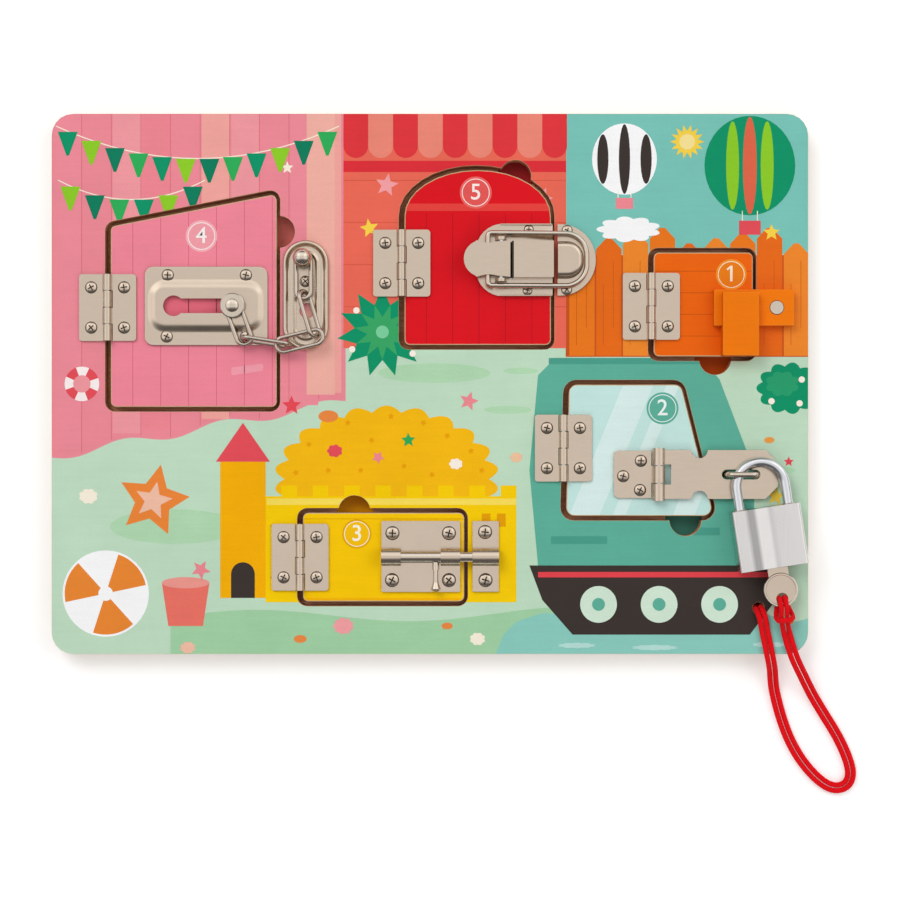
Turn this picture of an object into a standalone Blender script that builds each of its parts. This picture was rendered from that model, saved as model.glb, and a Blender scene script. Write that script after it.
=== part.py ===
"""A wooden padlock board for a small child: five little doors in a thick front panel, each with a
hinge and with a fastening of its own kind: a magnet, a hasp with a padlock, a bolt, a door chain
and a toggle latch. The board lies flat, with +Z up, the origin under its middle, at real size."""

import math

import bmesh
import bpy
from mathutils import Matrix, Vector

for stale in list(bpy.data.objects):
    bpy.data.objects.remove(stale, do_unlink=True)

# The board: a routed front panel, glued on a thin back panel.
BOARD_LENGTH = 0.350
BOARD_WIDTH = 0.250
BOARD_CORNER = 0.010
BACK_THICKNESS = 0.0027
FRONT_THICKNESS = 0.009
SEAT_GAP = 0.0003
RUN_GAP = 0.0003
DISC_GAP = 0.00015
OVERRUN = 0.002
FACE = BACK_THICKNESS + SEAT_GAP + FRONT_THICKNESS
CORNER_STEPS = 5

# The doors, each by its opening: size, middle as a share of the board, outline as shares of the
# opening, hinge height and finger notch as shares of the opening.
GROOVE = 0.0021
GROOVE_SHIFT = 0.0005
OPENING_CORNER = 0.0046
WIDE_CORNER = 0.006
SQUARE_SHARES = [(-0.5, -0.5), (0.5, -0.5), (0.5, 0.5), (-0.5, 0.5)]
SLANTED_SHARES = [(-0.5, -0.5), (0.5, -0.5), (0.5, 0.5), (-0.5, 0.346)]
CAB_SHARES = [(-0.5, -0.5), (0.5, -0.5), (0.278, 0.5), (-0.48, 0.5)]
ARCH_SPRING_SHARE = 0.2265
ARCH_STEPS = 16
ARCH_SHARES = [(-0.5, -0.5), (0.5, -0.5)] + [
    (0.5 * math.cos(math.pi * i / ARCH_STEPS),
     ARCH_SPRING_SHARE + (0.5 - ARCH_SPRING_SHARE) * math.sin(math.pi * i / ARCH_STEPS))
    for i in range(ARCH_STEPS + 1)
]
DOOR_1_LENGTH = 0.0501
DOOR_1_WIDTH = 0.0523
DOOR_2_LENGTH = 0.0733
DOOR_2_WIDTH = 0.0650
DOOR_3_LENGTH = 0.0789
DOOR_3_WIDTH = 0.0453
DOOR_4_LENGTH = 0.0810
DOOR_4_WIDTH = 0.1033
DOOR_5_LENGTH = 0.0720
DOOR_5_WIDTH = 0.0852
NOTCH_RADIUS = 0.0074
PLACE_SHARES = {
    1: (0.3599, 0.1470), 2: (0.2770, -0.1228), 3: (-0.0627, -0.3206),
    4: (-0.3137, 0.1554), 5: (0.0617, 0.2340),
}
HINGE_SHARES = {1: -0.018, 2: 0.015, 3: 0.0, 4: -0.035, 5: -0.032}
NOTCH_SHARES = {
    1: (0.119, -0.481), 2: (0.290, -0.497), 3: (-0.165, 0.467),
    4: (0.493, 0.305), 5: (0.249, 0.4425),
}
DOORS = {
    1: (DOOR_1_LENGTH, DOOR_1_WIDTH, SQUARE_SHARES, OPENING_CORNER),
    2: (DOOR_2_LENGTH, DOOR_2_WIDTH, CAB_SHARES, WIDE_CORNER),
    3: (DOOR_3_LENGTH, DOOR_3_WIDTH, SQUARE_SHARES, OPENING_CORNER),
    4: (DOOR_4_LENGTH, DOOR_4_WIDTH, SLANTED_SHARES, OPENING_CORNER),
    5: (DOOR_5_LENGTH, DOOR_5_WIDTH, ARCH_SHARES, OPENING_CORNER),
}

# The hinges: two leaves whose knuckles take turns on one pin.
HINGE_INSET = 0.0014
HINGE_REACH = 0.0132
HINGE_LENGTH = 0.0309
PLATE = 0.001
KNUCKLE_RADIUS = 0.002
PIN_RADIUS = 0.00085
KNUCKLES = 4
HINGE_AXIS = FACE + SEAT_GAP + KNUCKLE_RADIUS

# Door 1: a wooden bar with a magnet in its end, and a block to hold it by.
BAR_LENGTH = 0.0369
BAR_WIDTH = 0.0167
BAR_THICKNESS = 0.005
BAR_PLACE_SHARES = (0.4657, -0.0344)
GRIP_LENGTH = 0.0166
GRIP_WIDTH = 0.0292
GRIP_HEIGHT = 0.0100
GRIP_PLACE_SHARES = (0.095, 0.084)
MAGNET_RADIUS = 0.00315
MAGNET_THICKNESS = 0.003
MAGNET_SHARE = 0.283

# Door 2: a hasp whose strap drops over a staple.
HASP_LEAF_LENGTH = 0.0177
HASP_LEAF_WIDTH = 0.0220
HASP_AXIS_SHARE = 0.118
HASP_LINE_SHARE = -0.1723
HASP_BARREL_LENGTH = 0.0244
HASP_BARREL_RADIUS = 0.0029
HASP_PIN_RADIUS = 0.0012
STRAP_LENGTH = 0.0552
STRAP_WIDTH = 0.0226
STRAP_THICKNESS = 0.0012
STRAP_LIFT = 0.0016
STRAP_CHAMFER = 0.0060
SCALLOP_RADIUS = 0.0038
SCALLOP_SHARE = 0.3406
WINDOW_LENGTH = 0.0025
WINDOW_WIDTH = 0.0092
SLOT_LENGTH = 0.0178
SLOT_WIDTH = 0.0045
SLOT_SHARE = 0.688
STAPLE_WIRE = 0.00125
STAPLE_SPAN = 0.0133
STAPLE_HEIGHT = 0.0116
STAPLE_CORNER = 0.0030
STAPLE_DEPTH = 0.0050

# The padlock, which lies turned on the board, with its shackle through the staple.
CASE_LENGTH = 0.0318
CASE_WIDTH = 0.0280
CASE_THICKNESS = 0.0130
CASE_EDGE = 0.0016
CASE_PLACE_SHARES = (0.4449, -0.2828)
CASE_TURN = math.radians(8.7)
SHACKLE_RADIUS = 0.00235
SHACKLE_BOW = 0.01125
SHACKLE_RISE = 0.0096
SHACKLE_LONG = 0.0190
SHACKLE_SHORT = 0.0060
BOW_STEPS = 14
PLUG_RADIUS = 0.0037
PLUG_DEPTH = 0.0115
KEYWAY_SHIFT = 0.0018
KEY_THICKNESS = 0.0018
KEY_BLADE_WIDTH = 0.0056
KEY_BLADE_LENGTH = 0.0100
KEY_SHOULDER = 0.0095
KEY_STEM = 0.0030
KEY_BOW_RADIUS = 0.0079
KEY_HOLE_RADIUS = 0.0026
KEY_HOLE_SHIFT = 0.0041
KEY_SINK_SHARE = 0.94

# Door 3: a barrel bolt.
BOLT_PLATE_LENGTH = 0.0364
BOLT_PLATE_WIDTH = 0.0328
BOLT_PLACE_SHARES = (0.225, 0.0077)
BOLT_RADIUS = 0.0027
BOLT_LENGTH = 0.0511
BOLT_TIP = 0.0156
GUIDE_WALL = 0.0011
GUIDE_LENGTH = 0.0090
KEEPER_LENGTH = 0.0123
KEEPER_STEP = 0.0056
HANDLE_NECK = 0.00095
HANDLE_END = 0.0023
HANDLE_LENGTH = 0.0136
HANDLE_FLARE = 0.0035
HANDLE_BACK = 0.0113

# Door 4: a door chain, with a slider in a keyhole track and a knob on the frame.
TRACK_LENGTH = 0.0568
TRACK_WIDTH = 0.0365
TRACK_CORNER = 0.004
TRACK_PLACE_SHARES = (0.079, -0.028)
RAISED_LENGTH = 0.0546
RAISED_WIDTH = 0.0227
RAISED_LIFT = 0.0026
RAISED_WALL = 0.001
KEYHOLE_RADIUS = 0.0048
KEYHOLE_SHIFT = 0.0149
TRACK_SLOT = 0.0068
TRACK_SLOT_END = 0.0160
SLIDER_TRAVEL = 0.0274
SLIDER_FOOT_RADIUS = 0.0043
SLIDER_FOOT = 0.0010
SLIDER_NECK_RADIUS = 0.0017
WASHER_RADIUS = 0.0057
WASHER_THICKNESS = 0.0010
SLIDER_HEAD_RADIUS = 0.0028
SLIDER_HEAD = 0.0014
HEAD_TAPER_SHARE = 0.8
LINK_WIRE = 0.0010
LINK_LENGTH = 0.0240
LINK_WIDTH = 0.0088
POST_LENGTH = 0.0213
POST_WIDTH = 0.0509
POST_RIM = 0.0016
POST_RIM_LIFT = 0.0025
POST_PLACE_SHARES = (-0.1639, 0.1638)
POST_HOLE_RADIUS = 0.0036
POST_HOLE_SHARES = (0.0305, -0.1405)
KNOB_SHARES = (-0.054, 0.327)
KNOB_RADIUS = 0.0044
KNOB_NECK_RADIUS = 0.0020
KNOB_NECK = 0.0030
KNOB_SINK_SHARE = 0.12
KNOB_STEPS = 10

# Door 5: a toggle latch, with a wire bail over a catch on the frame.
TOGGLE_PLACE_SHARES = (0.157, -0.0153)
TOGGLE_PIVOT_LIFT = 0.0066
TOGGLE_BASE_LENGTH = 0.0354
TOGGLE_BASE_WIDTH = 0.0335
TOGGLE_BASE_TAPER = 0.0060
TOGGLE_BASE_BACK = 0.0116
TOGGLE_BOX_LENGTH = 0.0184
TOGGLE_BOX_WIDTH = 0.0169
TOGGLE_BOX_HEIGHT = 0.0078
TOGGLE_BOX_STEP = 0.0057
LUG_THICKNESS = 0.0016
LUG_RADIUS = 0.0022
LUG_FOOT = 0.0029
LEVER_WIDTH = 0.0169
LEVER_BACK = 0.0173
LEVER_FRONT = 0.0041
LEVER_SKIN_LIFT = 0.0012
LEVER_SKIN = 0.0012
LEVER_WAIST_SHARE = 0.14
WAIST_END_SHARE = 0.66
WAIST_SHARES = (0.11, 0.22, 0.33, 0.44, 0.55, 0.66)
CHEEK_INSET = 0.0002
TOGGLE_PIN_RADIUS = 0.0010
BAIL_WIRE = 0.00115
BAIL_SPAN = 0.0242
BAIL_ARM = 0.0457
BAIL_BACK = 0.0062
BAIL_DROP = 0.0033
BAIL_CORNER = 0.0100
CATCH_RADIUS = 0.0167
CATCH_LENGTH = 0.0179
CATCH_STEP = 0.0260
DOME_LENGTH = 0.0116
DOME_WIDTH = 0.0161
DOME_HEIGHT = 0.0062
DOME_CORNER = 0.0072

# The red cord, doubled from a hole in the board to the key.
CORD_RADIUS = 0.0011
CORD_HALF_GAP = 0.0014
KNOT_HALF_GAP = 0.0013
CORD_HOLE_RADIUS = 0.0028
CORD_HOLE_SHARES = (0.4343, -0.4148)


def shade(name, colour, roughness, metallic):
    """A plain Principled material."""
    made = bpy.data.materials.new(name)
    made.use_nodes = True
    surface = made.node_tree.nodes["Principled BSDF"]
    surface.inputs["Base Color"].default_value = (*colour, 1)
    surface.inputs["Roughness"].default_value = roughness
    surface.inputs["Metallic"].default_value = metallic
    return made


NICKEL = ((0.70, 0.63, 0.55), 0.32, 1.0)
STEEL = ((0.75, 0.76, 0.78), 0.22, 1.0)
BRASS = ((0.72, 0.55, 0.25), 0.35, 1.0)
WOOD = ((0.72, 0.52, 0.33), 0.6, 0.0)
RED_CORD = ((0.75, 0.01, 0.015), 0.8, 0.0)


def new_object(name, mesh, look, smooth=True):
    """The object of a mesh, with a material of its own."""
    obj = bpy.data.objects.new(name, mesh)
    bpy.context.collection.objects.link(obj)
    if look:
        obj.data.materials.clear()
        obj.data.materials.append(shade(name, *look))
    if smooth and obj.type == "MESH":
        mesh.shade_smooth()
        mesh.set_sharp_from_angle(angle=math.radians(35))
    return obj


def helper(obj):
    """A piece that only cuts or joins another."""
    obj.hide_render = True
    obj.display_type = "WIRE"
    return obj


def combine(obj, other, operation):
    """A Boolean of obj with a helper piece."""
    step = obj.modifiers.new(operation.lower(), "BOOLEAN")
    step.operation = operation
    step.solver = "EXACT"
    step.object = helper(other)
    return obj


def settle(obj):
    """The object with its Booleans worked out, and its helpers removed."""
    bpy.context.view_layer.update()
    graph = bpy.context.evaluated_depsgraph_get()
    mesh = bpy.data.meshes.new_from_object(obj.evaluated_get(graph))
    helpers = [step.object for step in obj.modifiers if step.type == "BOOLEAN"]
    obj.modifiers.clear()
    obj.data = mesh
    mesh.name = obj.name
    for other in helpers:
        bpy.data.objects.remove(other, do_unlink=True)
    return obj


def closed_mesh(name, bm):
    """The mesh of a closed shape, turned so that its faces point out."""
    if bm.calc_volume(signed=True) < 0:
        bmesh.ops.reverse_faces(bm, faces=bm.faces)
    mesh = bpy.data.meshes.new(name)
    bm.to_mesh(mesh)
    bm.free()
    return mesh


def prism(name, outline, low, high, look=None, along="Z"):
    """An outline extruded from low to high, along Z, along X (the outline in Y, Z) or along Y (X, Z)."""
    bm = bmesh.new()
    turn = {"Z": lambda a, b, h: (a, b, h), "X": lambda a, b, h: (h, a, b), "Y": lambda a, b, h: (a, h, b)}
    place = turn[along]
    ends = [[bm.verts.new(place(a, b, h)) for a, b in outline] for h in (low, high)]
    bm.faces.new(ends[0][::-1])
    bm.faces.new(ends[1])
    for i in range(len(outline)):
        j = (i + 1) % len(outline)
        bm.faces.new((ends[0][i], ends[0][j], ends[1][j], ends[1][i]))
    return new_object(name, closed_mesh(name, bm), look)


def block(name, x, y, z, look=None):
    """A box from pairs of limits."""
    outline = [(x[0], y[0]), (x[1], y[0]), (x[1], y[1]), (x[0], y[1])]
    return prism(name, outline, z[0], z[1], look)


def circle(centre, radius, count=24, start=0.0, sweep=math.tau):
    """Points on a circle, or on an arc of it, in a plane."""
    whole = sweep == math.tau
    steps = count if whole else count - 1
    return [
        (centre[0] + radius * math.cos(start + sweep * i / steps),
         centre[1] + radius * math.sin(start + sweep * i / steps))
        for i in range(count)
    ]


def turned(name, profile, centre, look=None, count=24):
    """A profile of (radius, height) pairs turned round an upright axis at centre."""
    bm = bmesh.new()
    rings = []
    for radius, height in profile:
        if radius == 0:
            rings.append([bm.verts.new((centre[0], centre[1], centre[2] + height))])
        else:
            rings.append([
                bm.verts.new((x, y, centre[2] + height))
                for x, y in circle(centre, radius, count)
            ])
    for low, high in zip(rings, rings[1:]):
        for i in range(count):
            j = (i + 1) % count
            corners = [low[i % len(low)], low[j % len(low)], high[j % len(high)], high[i % len(high)]]
            bm.faces.new(list(dict.fromkeys(corners)))
    for ring in (rings[0][::-1], rings[-1]):
        if len(ring) > 1:
            bm.faces.new(ring)
    return new_object(name, closed_mesh(name, bm), look)


def rod(name, radius, start, end, look=None, count=24):
    """A round bar between two points."""
    start, end = Vector(start), Vector(end)
    bm = bmesh.new()
    length = (end - start).length
    bmesh.ops.create_cone(
        bm, cap_ends=True, segments=count, radius1=radius, radius2=radius, depth=length)
    spin = (end - start).to_track_quat("Z", "Y").to_matrix().to_4x4()
    bm.transform(Matrix.Translation((start + end) / 2) @ spin)
    return new_object(name, closed_mesh(name, bm), look)


def wire(name, path, radius, look, closed=False, sides=2):
    """A round wire along a path."""
    curve = bpy.data.curves.new(name, "CURVE")
    curve.dimensions = "3D"
    curve.bevel_depth = radius
    curve.bevel_resolution = sides
    curve.use_fill_caps = True
    spline = curve.splines.new("POLY")
    spline.points.add(len(path) - 1)
    for point, place in zip(spline.points, path):
        point.co = (*place, 1)
    spline.use_cyclic_u = closed
    spline.use_smooth = True
    curve.twist_mode = "MINIMUM"
    return new_object(name, curve, look)


def rounded(outline, radius, which=None, steps=CORNER_STEPS):
    """The outline with arcs in its corners, or in those named."""
    found = []
    count = len(outline)
    for i, corner in enumerate(outline):
        here = Vector(corner)
        if which is not None and i not in which:
            found.append(corner)
            continue
        before = (Vector(outline[i - 1]) - here).normalized()
        after = (Vector(outline[(i + 1) % count]) - here).normalized()
        half = before.angle(after) / 2
        middle = here + (before + after).normalized() * radius / math.sin(half)
        start = here + before * radius / math.tan(half) - middle
        end = here + after * radius / math.tan(half) - middle
        angle = math.atan2(start.x * end.y - start.y * end.x, start.dot(end))
        for step in range(steps + 1):
            spun = Matrix.Rotation(angle * step / steps, 2) @ start
            found.append(tuple(middle + spun))
    return found


def inset(outline, distance):
    """The outline drawn in on every side, for a convex outline that runs anticlockwise."""
    found = []
    count = len(outline)
    for i in range(count):
        here = Vector(outline[i])
        before = (here - Vector(outline[i - 1])).normalized()
        after = (Vector(outline[(i + 1) % count]) - here).normalized()
        left, right = Vector((-before.y, before.x)), Vector((-after.y, after.x))
        found.append(tuple(here + (left + right) * distance / (1 + left.dot(right))))
    return found


def rectangle(centre, length, width):
    """A rectangle's four corners, anticlockwise from the lower left."""
    return [
        (centre[0] + length * a, centre[1] + width * b)
        for a, b in SQUARE_SHARES
    ]


def stadium(centre, length, width, steps=8):
    """A long round-ended outline along X."""
    reach = (length - width) / 2
    right = circle((centre[0] + reach, centre[1]), width / 2, steps, -math.pi / 2, math.pi)
    left = circle((centre[0] - reach, centre[1]), width / 2, steps, math.pi / 2, math.pi)
    return right + left


def smooth_curve(points, per_span):
    """A smooth curve through the points, with per_span steps between each two."""
    points = [Vector(point) for point in points]
    padded = [2 * points[0] - points[1], *points, 2 * points[-1] - points[-2]]
    found = []
    for i in range(len(points) - 1):
        a, b, c, d = padded[i:i + 4]
        for step in range(per_span):
            t = step / per_span
            found.append(
                b + (c - a) * t / 2 + (2 * a - 5 * b + 4 * c - d) * t * t / 2
                + (3 * b - a - 3 * c + d) * t * t * t / 2)
    return found + [points[-1]]


def on_board(shares):
    return (BOARD_LENGTH * shares[0], BOARD_WIDTH * shares[1])


def on_door(number, shares):
    length, width = DOORS[number][:2]
    centre = on_board(PLACE_SHARES[number])
    return (centre[0] + length * shares[0], centre[1] + width * shares[1])


def hinge_x(number):
    return on_door(number, (-0.5, 0.0))[0] + HINGE_INSET


def hang(pivot, pieces):
    """Pieces hung on an empty that stands on their joint's axis, left where they are."""
    bpy.context.view_layer.update()
    for piece in pieces:
        piece.parent = pivot
        piece.matrix_parent_inverse = pivot.matrix_world.inverted()


def pivot_at(name, place):
    empty = bpy.data.objects.new(name, None)
    empty.location = place
    bpy.context.collection.objects.link(empty)
    return empty


# The two panels and the five doors.
panel_outline = rounded(rectangle((0.0, 0.0), BOARD_LENGTH, BOARD_WIDTH), BOARD_CORNER)
front_panel = prism("front_panel", panel_outline, FACE - FRONT_THICKNESS, FACE, WOOD)
back_panel = prism("back_panel", panel_outline, 0.0, BACK_THICKNESS, WOOD)
doors = {}
for number, (length, width, shares, corner) in DOORS.items():
    corners = [on_door(number, share) for share in shares]
    soft = range(2) if number == 5 else None
    opening = rounded(corners, corner, soft)
    combine(
        front_panel,
        prism(f"opening_{number}", opening, FACE - FRONT_THICKNESS - OVERRUN, FACE + OVERRUN),
        "DIFFERENCE")
    notch = on_door(number, NOTCH_SHARES[number])
    combine(
        front_panel,
        rod(f"notch_{number}", NOTCH_RADIUS, (*notch, FACE - FRONT_THICKNESS - OVERRUN),
            (*notch, FACE + OVERRUN), count=32),
        "DIFFERENCE")
    leaf_outline = rounded(inset(corners, GROOVE), corner - GROOVE, soft)
    leaf_outline = [(x + GROOVE_SHIFT, y) for x, y in leaf_outline]
    doors[number] = prism(f"door_{number}", leaf_outline, FACE - FRONT_THICKNESS, FACE, WOOD)
cord_hole = on_board(CORD_HOLE_SHARES)
for panel, low, high in ((front_panel, FACE - FRONT_THICKNESS, FACE), (back_panel, 0.0, BACK_THICKNESS)):
    combine(
        panel,
        rod(f"cord_hole_{panel.name}", CORD_HOLE_RADIUS, (*cord_hole, low - OVERRUN),
            (*cord_hole, high + OVERRUN), count=16),
        "DIFFERENCE")

# One pair of hinge leaves, whose meshes the five hinges share. Their axis is the local Y.
leaf_low = -KNUCKLE_RADIUS
leaf_high = leaf_low + PLATE
meet = math.asin((leaf_high) / -KNUCKLE_RADIUS)
hook = (
    [(-HINGE_REACH / 2, leaf_high), (-HINGE_REACH / 2, leaf_low)]
    + circle((0.0, 0.0), KNUCKLE_RADIUS, 20, -math.pi / 2, 3 * math.pi / 2 + meet)
)
leaf_meshes = {}
for side, name in ((-1, "frame"), (1, "door")):
    leaf = block(
        f"{name}_leaf", (-HINGE_REACH, -KNUCKLE_RADIUS - RUN_GAP),
        (-HINGE_LENGTH / 2, HINGE_LENGTH / 2), (leaf_low, leaf_high), NICKEL)
    for knuckle in range(KNUCKLES):
        if knuckle % 2 == (0 if side < 0 else 1):
            low = HINGE_LENGTH * (knuckle / KNUCKLES - 0.5) + RUN_GAP / 2
            high = low + HINGE_LENGTH / KNUCKLES - RUN_GAP
            combine(leaf, prism("hook", hook, low, high, along="Y"), "UNION")
    bore = rod(
        "bore", PIN_RADIUS + RUN_GAP, (0.0, -HINGE_LENGTH / 2 - OVERRUN, 0.0),
        (0.0, HINGE_LENGTH / 2 + OVERRUN, 0.0), count=16)
    combine(leaf, bore, "DIFFERENCE")
    settle(leaf)
    if side > 0:
        bm = bmesh.new()
        bm.from_mesh(leaf.data)
        bm.transform(Matrix.Diagonal((-1, 1, 1, 1)))
        bmesh.ops.reverse_faces(bm, faces=bm.faces)
        bm.to_mesh(leaf.data)
        bm.free()
    leaf_meshes[name] = leaf.data.copy()
    bpy.data.objects.remove(leaf, do_unlink=True)

hinge_pivots = {}
for number in DOORS:
    place = (hinge_x(number), on_door(number, (0.0, HINGE_SHARES[number]))[1], HINGE_AXIS)
    hinge_pivots[number] = pivot_at(f"door_{number}_axis", place)
    for name in ("frame", "door"):
        leaf = new_object(f"hinge_{number}_{name}_leaf", leaf_meshes[name].copy(), NICKEL)
        leaf.location = place
        if name == "door":
            hang(hinge_pivots[number], [leaf])
    pin = rod(
        f"hinge_{number}_pin", PIN_RADIUS, (0.0, -HINGE_LENGTH / 2, 0.0),
        (0.0, HINGE_LENGTH / 2, 0.0), STEEL, 16)
    pin.location = place
    hang(hinge_pivots[number], [doors[number]])

# Door 1: the bar lies over the frame, and its magnet meets one let into the frame.
bar_left = on_door(1, BAR_PLACE_SHARES)[0] - BAR_LENGTH / 2
bar_line = on_door(1, BAR_PLACE_SHARES)[1]
bar_low = FACE + SEAT_GAP
bar_high = bar_low + BAR_THICKNESS
bar_x = (bar_left, bar_left + BAR_LENGTH)
bar_y = (bar_line - BAR_WIDTH / 2, bar_line + BAR_WIDTH / 2)
latch_bar = block("latch_bar", bar_x, bar_y, (bar_low, bar_high), WOOD)
grip_left = bar_left + BAR_LENGTH * GRIP_PLACE_SHARES[0]
grip_top = bar_y[1] - BAR_WIDTH * GRIP_PLACE_SHARES[1]
grip_x = (grip_left, grip_left + GRIP_LENGTH)
grip_y = (grip_top - GRIP_WIDTH, grip_top)
latch_grip = block("latch_grip", grip_x, grip_y, (bar_low, FACE + GRIP_HEIGHT), WOOD)
combine(
    latch_grip,
    block("bar_room", (grip_x[0] - OVERRUN, grip_x[1] + OVERRUN),
          (bar_y[0] - SEAT_GAP, grip_y[1] + OVERRUN), (bar_low - OVERRUN, bar_high + SEAT_GAP)),
    "DIFFERENCE")
magnet_place = (bar_left + BAR_LENGTH * (0.5 + MAGNET_SHARE), bar_line)
combine(
    latch_bar,
    rod("magnet_pocket", MAGNET_RADIUS + DISC_GAP,
        (*magnet_place, bar_high - MAGNET_THICKNESS - SEAT_GAP),
        (*magnet_place, bar_high + OVERRUN), count=32),
    "DIFFERENCE")
bar_magnet = rod(
    "bar_magnet", MAGNET_RADIUS, (*magnet_place, bar_high - MAGNET_THICKNESS),
    (*magnet_place, bar_high), STEEL, 32)
combine(
    front_panel,
    rod("frame_pocket", MAGNET_RADIUS + DISC_GAP, (*magnet_place, FACE - MAGNET_THICKNESS - SEAT_GAP),
        (*magnet_place, FACE + OVERRUN), count=32),
    "DIFFERENCE")
frame_magnet = rod(
    "frame_magnet", MAGNET_RADIUS, (*magnet_place, FACE - MAGNET_THICKNESS),
    (*magnet_place, FACE), STEEL, 32)
hang(hinge_pivots[1], [latch_bar, latch_grip, bar_magnet])

# Door 2: the hasp's leaf carries the middle knuckle, its strap the two outer ones.
hasp_x, hasp_y = on_door(2, (HASP_AXIS_SHARE, HASP_LINE_SHARE))
hasp_axis = FACE + SEAT_GAP + HASP_BARREL_RADIUS
third = HASP_BARREL_LENGTH / 3
hasp_leaf = block(
    "hasp_leaf", (hasp_x - HASP_LEAF_LENGTH - HASP_BARREL_RADIUS, hasp_x - HASP_BARREL_RADIUS - RUN_GAP),
    (hasp_y - HASP_LEAF_WIDTH / 2, hasp_y + HASP_LEAF_WIDTH / 2),
    (FACE + SEAT_GAP, FACE + SEAT_GAP + PLATE), NICKEL)
leaf_low = FACE + SEAT_GAP
meet = math.asin((HASP_BARREL_RADIUS - PLATE) / HASP_BARREL_RADIUS)
hook = (
    [(hasp_x - HASP_LEAF_LENGTH / 2, leaf_low + PLATE), (hasp_x - HASP_LEAF_LENGTH / 2, leaf_low)]
    + circle((hasp_x, hasp_axis), HASP_BARREL_RADIUS, 20, -math.pi / 2, 3 * math.pi / 2 + meet)
)
middle = (hasp_y - (third - RUN_GAP) / 2, hasp_y + (third - RUN_GAP) / 2)
combine(hasp_leaf, prism("hasp_hook", hook, *middle, along="Y"), "UNION")
hasp_bore = rod(
    "hasp_bore", HASP_PIN_RADIUS + RUN_GAP, (hasp_x, hasp_y - HASP_BARREL_LENGTH, hasp_axis),
    (hasp_x, hasp_y + HASP_BARREL_LENGTH, hasp_axis), count=16)
combine(hasp_leaf, hasp_bore, "DIFFERENCE")
hasp_pin = rod(
    "hasp_pin", HASP_PIN_RADIUS, (hasp_x, hasp_y - HASP_BARREL_LENGTH / 2, hasp_axis),
    (hasp_x, hasp_y + HASP_BARREL_LENGTH / 2, hasp_axis), STEEL, 16)

# The strap, with its slot, its window beside the barrel, its scallops and its cut corners.
strap_x = (hasp_x + HASP_BARREL_RADIUS + RUN_GAP, hasp_x + STRAP_LENGTH)
strap_low, strap_high = hasp_y - STRAP_WIDTH / 2, hasp_y + STRAP_WIDTH / 2
scallop_x = hasp_x + STRAP_LENGTH * SCALLOP_SHARE
strap_outline = [
    (strap_x[0], strap_low), (strap_x[1] - STRAP_CHAMFER, strap_low),
    (strap_x[1], strap_low + STRAP_CHAMFER), (strap_x[1], strap_high - STRAP_CHAMFER),
    (strap_x[1] - STRAP_CHAMFER, strap_high), (strap_x[0], strap_high),
]
strap_z = (FACE + STRAP_LIFT, FACE + STRAP_LIFT + STRAP_THICKNESS)
hasp_strap = prism("hasp_strap", strap_outline, *strap_z, NICKEL)
for side in (-1, 1):
    ends = (hasp_y + side * (third / 2 + RUN_GAP / 2), hasp_y + side * HASP_BARREL_LENGTH / 2)
    strap_knuckle = rod(
        "strap_knuckle", HASP_BARREL_RADIUS, (hasp_x, ends[0], hasp_axis),
        (hasp_x, ends[1], hasp_axis), count=24)
    combine(hasp_strap, strap_knuckle, "UNION")
    tongue = block(
        "strap_tongue", (hasp_x, hasp_x + HASP_BARREL_RADIUS * 2),
        sorted((ends[0], hasp_y + side * STRAP_WIDTH / 2)), strap_z)
    combine(hasp_strap, tongue, "UNION")
window = block(
    "strap_window", (strap_x[0] - OVERRUN, strap_x[0] + WINDOW_LENGTH),
    (hasp_y - WINDOW_WIDTH / 2, hasp_y + WINDOW_WIDTH / 2),
    (strap_z[0] - OVERRUN, strap_z[1] + OVERRUN))
combine(hasp_strap, window, "DIFFERENCE")
strap_bore = rod(
    "strap_bore", HASP_PIN_RADIUS + RUN_GAP, (hasp_x, hasp_y - HASP_BARREL_LENGTH, hasp_axis),
    (hasp_x, hasp_y + HASP_BARREL_LENGTH, hasp_axis), count=16)
combine(hasp_strap, strap_bore, "DIFFERENCE")
for edge in (strap_low, strap_high):
    scallop = rod(
        "scallop", SCALLOP_RADIUS, (scallop_x, edge, strap_z[0] - OVERRUN),
        (scallop_x, edge, strap_z[1] + OVERRUN), count=24)
    combine(hasp_strap, scallop, "DIFFERENCE")
staple_x = hasp_x + STRAP_LENGTH * SLOT_SHARE
slot = prism(
    "strap_slot", stadium((staple_x, hasp_y), SLOT_LENGTH, SLOT_WIDTH), strap_z[0] - OVERRUN,
    strap_z[1] + OVERRUN)
combine(hasp_strap, slot, "DIFFERENCE")

# The staple, a square-shouldered wire let into the board.
reach = STAPLE_SPAN / 2
staple_low = FACE - STAPLE_DEPTH
staple_top = FACE + STAPLE_HEIGHT
staple_path = rounded(
    [(-reach, staple_low), (-reach, staple_top), (reach, staple_top), (reach, staple_low)],
    STAPLE_CORNER, (1, 2))
staple = wire(
    "staple", [(staple_x + x, hasp_y, z) for x, z in staple_path], STAPLE_WIRE, STEEL)
for x in (-reach, reach):
    leg_hole = rod(
        "leg_hole", STAPLE_WIRE + SEAT_GAP, (staple_x + x, hasp_y, staple_low - SEAT_GAP),
        (staple_x + x, hasp_y, FACE + OVERRUN), count=16)
    combine(front_panel, leg_hole, "DIFFERENCE")
hasp_pivot = pivot_at("hasp_axis", (hasp_x, hasp_y, hasp_axis))
hang(hasp_pivot, [hasp_strap])
hang(hinge_pivots[2], [hasp_leaf, hasp_pin, hasp_pivot])

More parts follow.
